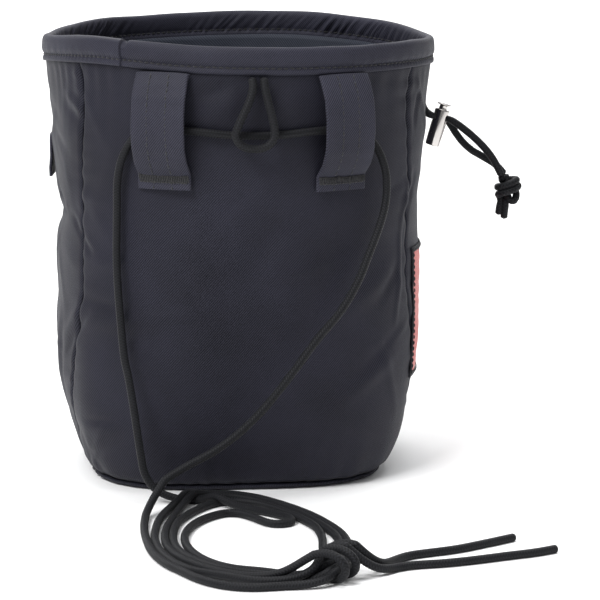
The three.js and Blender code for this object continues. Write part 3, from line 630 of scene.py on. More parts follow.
class Finish:
    """A material and short ways to add its nodes."""

    def __init__(self, name):
        self.material = bpy.data.materials.new(name)
        self.material.use_nodes = True
        self.tree = self.material.node_tree
        self.shader = self.tree.nodes["Principled BSDF"]
        self.uv = self.node("ShaderNodeUVMap", uv_map="UVMap").outputs[0]
        self.place = self.node("ShaderNodeTexCoord").outputs["Object"]

    def node(self, kind, **values):
        node = self.tree.nodes.new(kind)
        for key, value in values.items():
            setattr(node, key, value)
        return node

    def put(self, socket, value):
        if isinstance(value, bpy.types.NodeSocket):
            self.tree.links.new(value, socket)
        else:
            socket.default_value = value

    def math(self, operation, *values):
        node = self.node("ShaderNodeMath", operation=operation)
        for socket, value in zip(node.inputs, values):
            self.put(socket, value)
        return node.outputs[0]

    def noise(self, scale, detail=3.0, vector=None):
        node = self.node("ShaderNodeTexNoise")
        node.inputs["Scale"].default_value = scale
        node.inputs["Detail"].default_value = detail
        self.put(node.inputs["Vector"], vector or self.place)
        return node.outputs["Fac"]

    def mix(self, share, low, high):
        node = self.node("ShaderNodeMix", data_type="RGBA")
        colours = [socket for socket in node.inputs if socket.type == "RGBA"]
        self.put(node.inputs[0], share)
        self.put(colours[0], low)
        self.put(colours[1], high)
        return [socket for socket in node.outputs if socket.type == "RGBA"][0]

    def wave(self, across, up, turn_u, turn_v, pitch):
        """A sine over the cloth; its crests are pitch apart."""
        u = self.math("MULTIPLY", across, turn_u * 2 * math.pi / pitch)
        v = self.math("MULTIPLY", up, turn_v * 2 * math.pi / pitch)
        return self.math("SINE", self.math("ADD", u, v))

    def set(self, **values):
        for name, value in values.items():
            self.shader.inputs[name.replace("_", " ")].default_value = value

    def bump(self, height, strength, distance):
        node = self.node("ShaderNodeBump")
        node.inputs["Strength"].default_value = strength
        node.inputs["Distance"].default_value = distance
        self.put(node.inputs["Height"], height)
        self.put(self.shader.inputs["Normal"], node.outputs[0])

    def colour(self, value):
        self.put(self.shader.inputs["Base Color"], value)


def grey(red, green, blue):
    """A colour from its sRGB values of 0 to 255."""
    def linear(value):
        value /= 255
        return value / 12.92 if value < 0.04045 else ((value + 0.055) / 1.055) ** 2.4
    return linear(red), linear(green), linear(blue), 1.0


def twill(name, dark, light, pitch=0.68 * MM, depth=0.10 * MM, roughness=0.58, sheen=0.05):
    """Fine nylon twill whose lines rise to the right."""
    finish = Finish(name)
    split = finish.node("ShaderNodeSeparateXYZ")
    finish.put(split.inputs[0], finish.uv)
    u, v = split.outputs[0], split.outputs[1]
    diagonal = finish.wave(u, v, 0.75, -0.66, pitch)
    warp = finish.wave(u, v, 1, 0, pitch * 0.83)
    weft = finish.wave(u, v, 0, 1, pitch * 0.83)
    yarn = finish.math("MULTIPLY", finish.math("MULTIPLY", warp, weft), 0.35)
    weave = finish.math("ADD", finish.math("MULTIPLY", diagonal, 0.65), yarn)
    cloudy = finish.noise(38, 4)
    fibre = finish.noise(2400, 2)
    share = finish.math("MULTIPLY_ADD", weave, 0.5, finish.math("MULTIPLY_ADD", cloudy, 0.5, 0.15))
    share = finish.math("ADD", share, finish.math("MULTIPLY_ADD", fibre, 0.5, -0.25))
    finish.colour(finish.mix(share, dark, light))
    height = finish.math("MULTIPLY", finish.math("ADD", weave, fibre), 0.5)
    finish.bump(height, 0.75, depth)
    uneven = finish.math("MULTIPLY_ADD", cloudy, 0.2, roughness - 0.1)
    finish.put(finish.shader.inputs["Roughness"], uneven)
    finish.set(Sheen_Weight=sheen, Sheen_Roughness=0.4, Specular_IOR_Level=0.14)
    return finish.material


def braid_with_painted_highlights(name, dark, light, pitch, strands, roughness=0.6):
    """Braided cord: slanted stitches that meet in chevrons along it, with a painted highlight on
    the strand crests and painted shade in the grooves between them.
    """
    finish = Finish(name)
    split = finish.node("ShaderNodeSeparateXYZ")
    finish.put(split.inputs[0], finish.uv)
    along = finish.math("MULTIPLY", split.outputs[0], 1 / pitch)
    round_it = finish.math("MULTIPLY", split.outputs[1], float(strands))
    one = finish.math("ADD", along, round_it)
    two = finish.math("SUBTRACT", along, round_it)
    over = finish.math("ADD", finish.math("FLOOR", one), finish.math("FLOOR", two))
    over = finish.math("FLOORED_MODULO", over, 2.0)

    def strand(value):
        share = finish.math("FRACT", value)
        return finish.math("SINE", finish.math("MULTIPLY", share, math.pi))

    first = finish.math("MULTIPLY", strand(one), finish.math("MULTIPLY_ADD", over, 0.7, 0.3))
    second = finish.math("MULTIPLY", strand(two), finish.math("MULTIPLY_ADD", over, -0.7, 1.0))
    height = finish.math("MAXIMUM", first, second)
    fibre = finish.noise(3000, 2)
    # Painted light: the colour follows the strands' height, so the crests get a painted highlight
    # and the grooves painted shade; the fibre noise adds random tone.
    share = finish.math("MULTIPLY_ADD", height, 1.1, -0.45)
    share = finish.math("ADD", share, finish.math("MULTIPLY_ADD", fibre, 0.5, -0.2))
    finish.colour(finish.mix(share, dark, light))
    finish.bump(finish.math("ADD", height, finish.math("MULTIPLY", fibre, 0.3)), 0.8, 0.16 * MM)
    finish.set(Roughness=roughness, Sheen_Weight=0.03, Sheen_Roughness=0.5, Specular_IOR_Level=0.2)
    return finish.material


def thread(name, colour):
    finish = Finish(name)
    fibre = finish.noise(2600, 2)
    finish.colour(finish.mix(fibre, colour, tuple(min(1, 2.2 * c) for c in colour[:3]) + (1,)))
    finish.bump(fibre, 0.5, 0.06 * MM)
    finish.set(Roughness=0.55, Sheen_Weight=0.2)
    return finish.material


def polished(name):
    finish = Finish(name)
    scratch = finish.noise(900, 3)
    cloudy = finish.noise(160, 2)
    finish.colour(finish.mix(cloudy, grey(176, 172, 170), grey(214, 210, 206)))
    finish.put(finish.shader.inputs["Roughness"], finish.math("MULTIPLY_ADD", scratch, 0.10, 0.09))
    finish.bump(scratch, 0.05, 0.02 * MM)
    finish.set(Metallic=1.0)
    return finish.material


SHELL = twill("shell_twill", grey(4, 4, 8), grey(53, 53, 66))
HEM = twill("hem_twill", grey(12, 12, 18), grey(68, 68, 82), pitch=0.62 * MM)
LINING = twill("lining_twill", grey(24, 27, 34), grey(68, 72, 84), pitch=0.8 * MM)
STRAP = twill("strap_twill", grey(14, 14, 20), grey(72, 72, 86))
BORDER = twill("label_border", grey(18, 18, 21), grey(44, 44, 50), pitch=0.5 * MM)
FIELD = twill("label_field", grey(186, 84, 80), grey(226, 120, 112), pitch=0.5 * MM, sheen=0.3)
# Each braid's dark colour is the cord's own, deepened in the grooves as painted shade; its light
# colour is a painted highlight on the strand crests.
WAIST_BRAID = braid_with_painted_highlights("waist_braid", grey(1, 1, 2), grey(40, 41, 46), 1.05 * MM, 4)
DRAW_BRAID = braid_with_painted_highlights("draw_braid", grey(1, 1, 2), grey(36, 37, 42), 1.05 * MM, 4)
THREAD = thread("thread", grey(6, 6, 9))
NICKEL = polished("polished_nickel")


def wear(obj, *materials):
    obj.data.materials.clear()
    for material in materials:
        obj.data.materials.append(material)


wear(waist_left, WAIST_BRAID)
wear(waist_right, WAIST_BRAID)

back = wall_panel("back_wall", "back_panel", 170, lambda seam: -seam, lambda seam: seam)
front = wall_panel("front_wall", "front_panel", 270, lambda seam: seam, lambda seam: 360 - seam)
wear(back, SHELL)
wear(front, SHELL)


# Stitches

STITCH_RINGS = np.array([(0.0, 0.35), (0.18, 0.85), (0.5, 1.0), (0.82, 0.85), (1.0, 0.35)])
STITCH_SIDES = 6


def stitches(name, rows, radius=0.27 * MM):
    """Threads as one piece; rows holds each one's start, end and outward direction."""
    points = []
    faces = []
    angle = np.linspace(0, 2 * math.pi, STITCH_SIDES, endpoint=False)
    for start, end, out in rows:
        start, end, out = (np.asarray(value, float) for value in (start, end, out))
        ahead = (end - start) / np.linalg.norm(end - start)
        side = np.cross(ahead, out)
        side /= np.linalg.norm(side)
        over = np.cross(side, ahead)
        first = len(points)
        for share, size in STITCH_RINGS:
            middle = start + (end - start) * share + over * radius * 0.5 * math.sin(math.pi * share)
            for turn in angle:
                ring = side * math.cos(turn) + over * math.sin(turn)
                points.append(middle + ring * radius * size)
        rings = len(STITCH_RINGS)
        for r in range(rings - 1):
            for k in range(STITCH_SIDES):
                a = first + r * STITCH_SIDES + k
                b = first + r * STITCH_SIDES + (k + 1) % STITCH_SIDES
                faces.append((a, b, b + STITCH_SIDES, a + STITCH_SIDES))
        faces.append(tuple(first + k for k in range(STITCH_SIDES - 1, -1, -1)))
        last = first + (rings - 1) * STITCH_SIDES
        faces.append(tuple(last + k for k in range(STITCH_SIDES)))
    piece = new_object(name, points, faces)
    wear(piece, THREAD)
    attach(piece, "bag")
    return piece


# Hem

HEM_COLUMNS = 1100
STITCH_PITCH = 2.3 * MM
STITCH_LINE = 2.5 * MM
# The hem's section: how far each corner stands out past the hem's radius and above its lower edge,
# in millimetres, up the outside and down the inside.
HEM_SECTION = (
    (-0.9, 0.1), (-0.45, 0.15), (-0.25, 0.7), (-0.25, 1.7), (-0.75, 2.5), (-0.3, 3.3), (0.0, 4.6),
    (0.0, 6.4), (-0.15, 7.9), (-0.6, 9.1), (-1.4, 9.75), (-2.3, 9.75), (-3.1, 9.2), (-3.55, 8.0),
    (-3.6, 6.2), (-3.4, 4.4), (-3.15, 3.2), (-2.9, 2.5), (-3.2, 1.7), (-3.35, 0.8), (-3.1, 0.15),
    (-2.2, 0.0),
)


def closed_curve(points, count):
    p = np.array(points, float)
    around = np.vstack([p[-1:], p, p[:2]])
    share = np.linspace(0, 1, 12, endpoint=False)[:, None]
    parts = []
    for a, b, c, d in zip(around, around[1:], around[2:], around[3:]):
        cubic = -a + 3 * b - 3 * c + d
        square = 2 * a - 5 * b + 4 * c - d
        parts.append(0.5 * (2 * b + (c - a) * share + square * share ** 2 + cubic * share ** 3))
    dense = np.vstack(parts + [parts[0][:1]])
    along = np.concatenate([[0], np.cumsum(np.linalg.norm(np.diff(dense, axis=0), axis=1))])
    at = np.linspace(0, along[-1], count, endpoint=False)
    return np.stack([np.interp(at, along, dense[:, k]) for k in range(2)], axis=1), at


HEM_CURVE, HEM_AROUND = closed_curve(HEM_SECTION, 44)
HEM_CURVE = HEM_CURVE * MM


def hem_place(turn, out, up):
    """Points of the hem from their place in its section."""
    turn, out, up = np.broadcast_arrays(np.asarray(turn, float), out, up)
    arc = np.radians(turn) * RIM_RADIUS
    outer = np.clip((out + 2.2 * MM) / (1.2 * MM), 0, 1)
    inner = 1 - outer
    tall = np.clip(up / HEM_HEIGHT, 0, 1)
    from_lap = wrapped(LAP_TURN - turn) % 360
    lap = HEM_LAP * np.clip(1 - from_lap / 30, 0, 1)
    seam = np.exp(-((up - STITCH_LINE) / (1.0 * MM)) ** 2)
    pucker = 0.5 + 0.5 * np.cos(2 * math.pi * arc / STITCH_PITCH)
    angle = arc / RIM_RADIUS
    flat = np.stack([RIM_RADIUS * np.sin(angle), RIM_RADIUS * np.cos(angle), 2 * up], -1)
    rough = soft_noise(flat * 1.6)
    moved = out + outer * lap + outer * rough * 0.28 * MM * tall
    moved = moved - seam * (0.16 + 0.22 * pucker) * MM * outer + seam * 0.25 * pucker * MM * inner
    gather = ripple(arc + 0.8 * up, 5.2 * MM, 4.0) + 0.7 * ripple(arc + 1.1 * up, 3.3 * MM, 7.0)
    strength = 0.25 + 0.2 * np.sin(arc / (23 * MM)) + 0.12 * np.sin(arc / (9 * MM) + 1)
    moved = moved + inner * gather * strength * MM * np.sin(math.pi * np.clip(tall, 0.05, 0.95))
    by_stitches = np.exp(-((up - 3.6 * MM) / (2 * MM)) ** 2)
    small = ripple(arc, 6.1 * MM, 5.0) * 0.10 * MM * outer * by_stitches
    moved = moved + small
    crown = soft_noise(flat * 1.1 + 0.3) * 0.25 * MM
    notch = np.exp(-((turn - LAP_TURN - 0.9) / 0.9) ** 2) * np.clip((tall - 0.72) / 0.2, 0, 1)
    angle = np.radians(turn)
    reach = RIM_RADIUS + moved - notch * 0.8 * MM
    high = HEM_BOTTOM + rise_at(turn) + up + crown * tall - notch * 1.1 * MM
    return np.stack([reach * np.sin(angle), -reach * np.cos(angle), high], axis=-1)


def make_hem():
    turn = LAP_TURN + np.concatenate([[0.02], np.linspace(0.1, 359.98, HEM_COLUMNS - 1)])
    points = hem_place(turn[:, None], HEM_CURVE[None, :, 0], HEM_CURVE[None, :, 1])
    count = HEM_CURVE.shape[0]
    faces = []
    for i in range(HEM_COLUMNS):
        a = i * count
        b = ((i + 1) % HEM_COLUMNS) * count
        for k in range(count):
            n = (k + 1) % count
            faces.append((a + k, b + k, b + n, a + n))
    around = np.broadcast_to(HEM_AROUND * MM, (HEM_COLUMNS, count))
    arc = np.broadcast_to(np.radians(turn)[:, None] * RIM_RADIUS, around.shape)
    uvs = np.stack([arc, around], axis=-1).reshape(-1, 2)
    hem = new_object("hem", points.reshape(-1, 3), faces, uvs)
    wear(hem, HEM)
    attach(hem, "bag")
    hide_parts("rim_band")

    rows = []
    count = int(2 * math.pi * RIM_RADIUS / STITCH_PITCH)
    for number in range(count):
        middle = LAP_TURN + 360 * (number + 0.5) / count
        half = math.degrees(0.78 * MM / RIM_RADIUS)
        for out, way in ((-0.55 * MM, 1), (-3.05 * MM, -1)):
            wobble = 0.12 * MM * chance.normal()
            start = hem_place(middle - half, out, STITCH_LINE + wobble)
            end = hem_place(middle + half, out, STITCH_LINE - wobble * 0.5)
            outward = np.array([start[0], start[1], 0]) * way
            outward /= np.linalg.norm(outward)
            rows.append((start, end, outward))
    stitches("hem_stitching", rows)


make_hem()


# Lining and base

def make_lining():
    columns = 300
    turn = np.linspace(0, 360, columns, endpoint=False)
    floor_share = np.linspace(0.02, 0.97, 26)
    wall_share = np.concatenate([np.linspace(0.0, 0.06, 8)[1:], np.linspace(0.06, 1.006, 77)[1:]])
    inset = LINING_INSET
    foot = wall_place(turn, 0.0, -inset)
    middle = np.array([section_at("drift", 0.0) * WALL_RADIUS, 0, 0])
    floor = middle + (foot[:, None] - middle) * floor_share[None, :, None]
    grid_turn, grid_share = np.meshgrid(turn, wall_share, indexing="ij")
    arc = np.radians(grid_turn) * MEAN_RADIUS
    drape = ripple(arc, 17 * MM, 6.0) * 0.55 * MM + ripple(arc, 8.6 * MM, 8.0) * 0.2 * MM
    drape = drape * np.sin(math.pi * np.clip(grid_share, 0, 1)) ** 0.5
    side = wall_place(grid_turn, grid_share, -inset + np.minimum(drape, 0.3 * MM))
    fold = fold_depth(grid_turn, side[..., 2]) * 0.6
    side = wall_place(grid_turn, grid_share, -inset + np.minimum(drape - fold, 0.35 * MM))
    rough = soft_noise(floor * 1.5) * 0.25 * MM + 0.25 * MM
    floor[..., 2] = WALL_FOOT + rough * np.sin(math.pi * floor_share)
    side[:, :, 2] = np.maximum(side[:, :, 2], WALL_FOOT + 0.1 * MM)
    points = np.concatenate([floor, side], axis=1)
    rows = points.shape[1] - 1
    run = np.linalg.norm(np.diff(points, axis=1), axis=2)
    along = np.concatenate([np.zeros((columns, 1)), np.cumsum(run, axis=1)], axis=1)
    across = np.broadcast_to(np.radians(turn)[:, None] * MEAN_RADIUS, along.shape)
    uvs = np.stack([across, along], axis=-1).reshape(-1, 2)
    faces = grid_faces(columns, rows, around=True)
    middle_point = len(uvs)
    for i in range(columns):
        faces.append((i * (rows + 1), middle_point, ((i + 1) % columns) * (rows + 1)))
    points = np.vstack([points.reshape(-1, 3), [middle[0], 0, WALL_FOOT + 0.2 * MM]])
    uvs = np.vstack([uvs, [0, 0]])
    lining = new_object("inner_lining", points, faces, uvs)
    add_modifier(lining, "SOLIDIFY", thickness=0.6 * MM, offset=-1)
    apply_modifiers(lining)
    wear(lining, LINING)
    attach(lining, "bag")
    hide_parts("lining")


def make_base():
    columns = 240
    turn = np.linspace(0, 360, columns, endpoint=False)
    rows = (
        (0.0, 0.35), (0.3, 0.30), (0.6, 0.25), (0.85, 0.15), (0.94, 0.05), (0.975, 0.35),
        (0.995, 0.95), (1.0, 1.5), (0.992, 2.0), (0.97, 2.3), (0.9, 2.35), (0.5, 2.3), (0.0, 2.3),
    )
    rim = wall_place(turn, 0.0, -0.9 * MM)
    middle = np.array([section_at("drift", 0.0) * WALL_RADIUS, 0, 0])
    arc = np.radians(turn) * MEAN_RADIUS
    points = []
    for share, high in rows[1:-1]:
        uneven = share + 0.004 * ripple(arc, 9.5 * MM, 3.0) * share
        ring = middle + (rim - middle) * uneven[:, None]
        ring[:, 2] = high * MM + (0.12 * MM * soft_noise(ring * 1.3) if 0.2 < share < 0.9 else 0)
        points.append(ring)
    points = np.maximum(np.stack(points, axis=1), [-1, -1, 0.02 * MM])
    count = points.shape[1] - 1
    faces = grid_faces(columns, count, around=True)
    low = columns * (count + 1)
    for i in range(columns):
        n = (i + 1) % columns
        faces.append((i * (count + 1), low, n * (count + 1)))
        faces.append((i * (count + 1) + count, n * (count + 1) + count, low + 1))
    flat = points.reshape(-1, 3)
    ends = np.array([[middle[0], 0, rows[0][1] * MM], [middle[0], 0, rows[-1][1] * MM]])
    points = np.vstack([flat, ends])
    base = new_object("base_sheet", points, faces, points[:, :2])
    wear(base, SHELL)
    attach(base, "bag")
    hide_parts("base_panel")


make_lining()
make_base()


# Straps: the belt loops and the side tab

LOOP_SHAPE = np.array([
    (0.00, 0.10), (0.08, 0.45), (0.20, 0.82), (0.35, 0.98), (0.50, 1.00), (0.64, 0.90),
    (0.76, 0.58), (0.84, 0.16), (0.87, 0.00), (1.00, 0.00),
])


def strap_frame(turn, height):
    """Origin on the wall, outward and sideways directions there."""
    share = share_at(height)
    origin = wall_place(turn, share)
    side = wall_place(turn + 1, share) - wall_place(turn - 1, share)
    side[2] = 0
    side /= np.linalg.norm(side)
    return origin, np.array([side[1], -side[0], 0]), side


def strap_line(turn, top, length, shape, room, rows):
    """The strap's inner face down its middle, as distance out and height."""
    origin, out, side = strap_frame(turn, top - length / 2)
    along = np.linspace(0, 1, rows)
    stand = blurred(np.interp(along, shape[:, 0], shape[:, 1]), max(2, rows // 60))
    height = top - along * length
    lean = (wall_place(turn, share_at(height)) - origin) @ out + CLEARANCE
    return origin, out, side, along, np.clip(stand, 0, 1), height, lean + stand * (room - CLEARANCE)


def strap(name, node, turn, top, length, width, thickness, shape, room, lines, seed):
    rows = 150
    across = 56
    origin, out, side, along, stand, height, inner = strap_line(
        turn, top, length, shape, room, rows)
    centre = np.stack([inner, height], axis=1)
    run = np.gradient(centre, axis=0)
    run /= np.linalg.norm(run, axis=1)[:, None]
    normal = np.stack([-run[:, 1], run[:, 0]], axis=1)
    down = np.concatenate([[0], np.cumsum(np.linalg.norm(np.diff(centre, axis=0), axis=1))])
    angle = np.linspace(0, 2 * math.pi, across, endpoint=False)
    flat = np.sign(np.cos(angle)) * np.abs(np.cos(angle)) ** 0.22
    thick = np.sign(np.sin(angle)) * np.abs(np.sin(angle)) ** 0.5
    w = flat[None] * width / 2 * (1 + 0.006 * ripple(down, 9 * MM, seed)[:, None])
    w = w + 0.12 * MM * np.sin(down / (11 * MM) + seed)[:, None]
    t = 0.5 + 0.5 * thick[None] * np.ones((rows, 1))
    face = np.clip(thick, 0, 1)[None]
    lift = np.zeros_like(w)
    for line in lines:
        groove = np.exp(-((w - line) / (0.6 * MM)) ** 2)
        near = np.exp(-np.abs(w - line) / (2.2 * MM))
        uneven = ripple(down, 2.2 * MM, seed + line * 500)[:, None]
        lift -= face * groove * (0.42 + 0.12 * uneven) * MM
        lift += face * near * ripple(down, 5.2 * MM, seed + 3 + line * 700)[:, None] * 0.2 * MM
    lift += 0.12 * MM * ripple(down, 23 * MM, seed)[:, None] * stand[:, None]
    hug = -(w ** 2) / (2 * MEAN_RADIUS) * (1 - stand)[:, None]
    off = t * thickness + lift + hug
    place = centre[:, None] + normal[:, None] * off[..., None]
    points = origin + out * place[..., 0:1] + side * w[..., None]
    points[..., 2] = place[..., 1]
    points = points.transpose(1, 0, 2)
    uvs = np.stack([w, np.broadcast_to(-down[:, None], w.shape)], -1).transpose(1, 0, 2)
    faces = grid_faces(across, rows - 1, around=True)
    faces.append(tuple(k * rows for k in range(across)))
    faces.append(tuple(k * rows + rows - 1 for k in range(across - 1, -1, -1)))
    piece = new_object(name, points.reshape(-1, 3), faces, uvs.reshape(-1, 2))
    bm = bmesh.new()
    bm.from_mesh(piece.data)
    bmesh.ops.recalc_face_normals(bm, faces=bm.faces)
    bm.to_mesh(piece.data)
    bm.free()
    wear(piece, STRAP)
    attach(piece, "bag")
    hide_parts(node)

    def surface(at, across_by, above=0.0):
        i = np.clip(at, 0, length * 0.9999) / length * (rows - 1)
        spot = np.array([np.interp(i, np.arange(rows), centre[:, k]) for k in range(2)])
        facing = np.array([np.interp(i, np.arange(rows), normal[:, k]) for k in range(2)])
        hugging = -(across_by ** 2) / (2 * MEAN_RADIUS) * (1 - np.interp(i, np.arange(rows), stand))
        spot = spot + facing * (thickness + hugging + above)
        point = origin + out * spot[0] + side * across_by
        point[2] = spot[1]
        return point, out * facing[0] + np.array([0, 0, facing[1]])

    return surface


TACK_TOP = 0.868
TACK_LOW = 0.935


def make_belt_loop(name, node, turn, lines, seed):
    half = math.degrees(WEBBING_WIDTH / 2 / WALL_RADIUS)
    top = WALL_TOP + min(rise_at(turn - half), rise_at(turn + half))
    surface = strap(name, node, turn, top, LOOP_LENGTH, WEBBING_WIDTH, WEBBING_THICKNESS,
                    LOOP_SHAPE, LOOP_ROOM, lines, seed)
    rows = []
    for line in lines:
        at = 0.6 * MM
        while at < LOOP_LENGTH * 0.985:
            start, facing = surface(at, line + 0.1 * MM * chance.normal(), -0.12 * MM)
            end, facing = surface(at + 1.75 * MM, line + 0.1 * MM * chance.normal(), -0.12 * MM)
            rows.append((start, end, facing))
            at += 2.3 * MM
    for edge in (TACK_TOP, TACK_LOW):
        across = -WEBBING_WIDTH / 2 + 0.8 * MM
        while across < WEBBING_WIDTH / 2 - 1.6 * MM:
            start, facing = surface(LOOP_LENGTH * edge, across, 0.02 * MM)
            end, facing = surface(LOOP_LENGTH * edge, across + 1.3 * MM, 0.02 * MM)
            rows.append((start, end, facing))
            across += 1.4 * MM
    across = -WEBBING_WIDTH / 2 + 0.7 * MM
    while across < WEBBING_WIDTH / 2 - 0.5 * MM:
        slip = 0.25 * MM * chance.normal()
        start, facing = surface(LOOP_LENGTH * TACK_TOP - 0.5 * MM + slip, across, 0.03 * MM)
        end, facing = surface(LOOP_LENGTH * TACK_LOW + slip * 0.6, across + 0.22 * MM, 0.03 * MM)
        rows.append((start, end, facing))
        across += 0.66 * MM
    stitches(name + "_stitching", rows)


make_belt_loop("strap_left", "belt_loop_left", -LOOP_TURN + 0.8, (-3.8 * MM, 3.2 * MM), 1.0)
make_belt_loop("strap_right", "belt_loop_right", LOOP_TURN, (-3.4 * MM, 3.1 * MM), 5.0)
TAB_SHAPE = np.array([(0.0, 0.0), (0.5, 0.3), (0.8, 0.9), (1.0, 1.0)])
strap("tab", "side_tab", -99, 124 * MM, 15.6 * MM, 14 * MM, 1.2 * MM,
      TAB_SHAPE, 1.3 * MM, (), 2.0)


# Label

LABEL_START, LABEL_END = 61.5, 106.0
LABEL_LOW, LABEL_HIGH = 36.5 * MM, 85.5 * MM
BORDER_WIDTH = 1.7 * MM


def make_label():
    columns, rows = 96, 150
    turn = np.linspace(LABEL_START, LABEL_END, columns + 1)[:, None] + np.zeros((1, rows + 1))
    share = np.linspace(share_at(LABEL_LOW), share_at(LABEL_HIGH), rows + 1)[None] + 0 * turn
    wide = math.radians(LABEL_END - LABEL_START) * MEAN_RADIUS
    x = (turn - LABEL_START) / (LABEL_END - LABEL_START) * wide
    y = (share - share[0, 0]) / (share[0, -1] - share[0, 0]) * (LABEL_HIGH - LABEL_LOW)
    edge = np.minimum(np.minimum(x, wide - x), np.minimum(y, LABEL_HIGH - LABEL_LOW - y))
    inner = BORDER_WIDTH + 0.35 * MM * (np.sin(y / (3.1 * MM)) + 0.6 * np.sin(x / (1.9 * MM) + 1))
    ridge = np.clip(edge / (0.7 * MM), 0, 1) ** 0.5
    ridge = ridge * np.clip((inner - edge) / (0.7 * MM), 0, 1) ** 0.5
    rough = soft_noise(wall_place(turn, share) * 1.4)
    out = 0.55 * MM + 0.35 * MM * ridge + 0.12 * MM * rough + 0.10 * MM * ripple(y, 5 * MM, 1.0)
    out = out + 0.5 * MM * cloth_off(turn, share)
    points = wall_place(turn, share, out)
    uvs = np.stack([x, y], axis=-1).reshape(-1, 2)
    label = new_object("label", points.reshape(-1, 3), grid_faces(columns, rows), uvs)
    inside = (edge > inner)
    field = inside[:-1, :-1] & inside[1:, 1:] & inside[1:, :-1] & inside[:-1, 1:]
    wear(label, BORDER, FIELD)
    label.data.polygons.foreach_set("material_index", field.ravel().astype(np.int32))
    add_modifier(label, "SOLIDIFY", thickness=0.6 * MM, offset=-1)
    apply_modifiers(label)
    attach(label, "bag")
    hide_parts("side_label")
    rows = []
    for low_x, low_y, high_x, high_y in (
        (1.3, 1.3, 1.3, 47.7), (1.3, 1.3, 45.5, 1.3),
        (1.3, 47.7, 45.5, 47.7), (45.5, 1.3, 45.5, 47.7),
    ):
        length = math.hypot(high_x - low_x, high_y - low_y)
        for number in range(int(length / 2.2)):
            ends = []
            for share_along in (number * 2.2 / length, (number * 2.2 + 1.6) / length):
                px = (low_x + (high_x - low_x) * share_along) * MM
                py = (low_y + (high_y - low_y) * share_along) * MM
                place_turn = LABEL_START + px / wide * (LABEL_END - LABEL_START)
                ends.append(wall_place(place_turn, share_at(LABEL_LOW + py), 0.95 * MM))
            outward = np.array([ends[0][0], ends[0][1], 0])
            rows.append((ends[0], ends[1], outward / np.linalg.norm(outward)))
    stitches("label_stitching", rows)


def cloth_off(turn, share):
    """The wall's own folds under a patch, as a share of a millimetre."""
    return np.clip(cloth_out(turn, share, np.full(turn.shape, 0.05)) / MM, -0.3, 0.9)


make_label()


# Cords on the bag, in millimetres

SPAN = [
    (-37.0, -63.2, 132.4), (-32.7, -65.2, 133.2), (-27.0, -67.4, 133.5), (-20.0, -69.6, 133.2),
    (-10.0, -71.3, 132.2), (0.0, -71.9, 131.8), (10.0, -71.3, 132.0), (20.0, -69.6, 132.8),
    (27.0, -67.4, 133.0), (32.7, -65.2, 132.4), (37.0, -63.2, 131.4),
]
PULL_LOOP = [
    (-0.9, -73.3, 152.5), (-0.6, -74.3, 148.6), (-2.4, -75.2, 143.0), (-5.4, -75.9, 136.8),
    (-6.8, -76.0, 132.4), (-4.6, -75.9, 128.8), (0.0, -75.8, 127.6), (4.6, -75.9, 128.8),
    (6.8, -76.0, 132.4), (6.2, -75.9, 137.8), (4.8, -75.2, 143.4), (3.7, -74.3, 148.6),
    (3.3, -73.3, 152.5),
]
LOCK_PLACE = np.array([77.7, 12, 127.8])
KNOT_PLACE = np.array([103.8, 12, 99.8])
INNER_FRONT = [
    (71.1, 17.7, 150.6), (70.6, 17.0, 144.0), (70.4, 14.8, 138.0), (70.9, 12.2, 133.2),
    (72.2, 10.6, 130.4), (74.0, 10.3, 129.2),
]
INNER_REAR = [
    (68.0, 27.5, 150.6), (67.9, 26.5, 144.0), (68.6, 23.4, 138.0), (69.9, 18.8, 133.6),
    (71.9, 15.3, 130.8), (74.0, 13.8, 129.2),
]
OUTER_UPPER = [
    (81.4, 10.4, 127.3), (87.7, 10.4, 122.9), (93.6, 10.2, 117.5), (97.6, 10.0, 112.6),
    (100.6, 10.2, 107.2), (101.3, 10.5, 105.5),
]
OUTER_LOWER = [
    (81.0, 13.6, 126.2), (84.0, 13.7, 121.9), (86.6, 13.8, 118.5), (90.2, 13.9, 115.2),
    (94.6, 14.0, 112.6), (99.6, 14.0, 109.4), (103.1, 13.5, 105.7),
]


def cord_piece(name, line, finish, squeeze=None):
    tube, path = braided_tube(name, line, squeeze=squeeze)
    wear(tube, finish)
    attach(tube, "bag")
    return tube, path


span_line = smooth_line(np.array(SPAN) * MM, 0.5 * MM)
span, _ = cord_piece("waist_span", span_line, WAIST_BRAID)
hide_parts("waist_cord_span")
pull_line = smooth_line(np.array(PULL_LOOP) * MM, 0.5 * MM)
pull, pull_path = cord_piece("pull_cord", pull_line, WAIST_BRAID)
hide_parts("pull_loop")


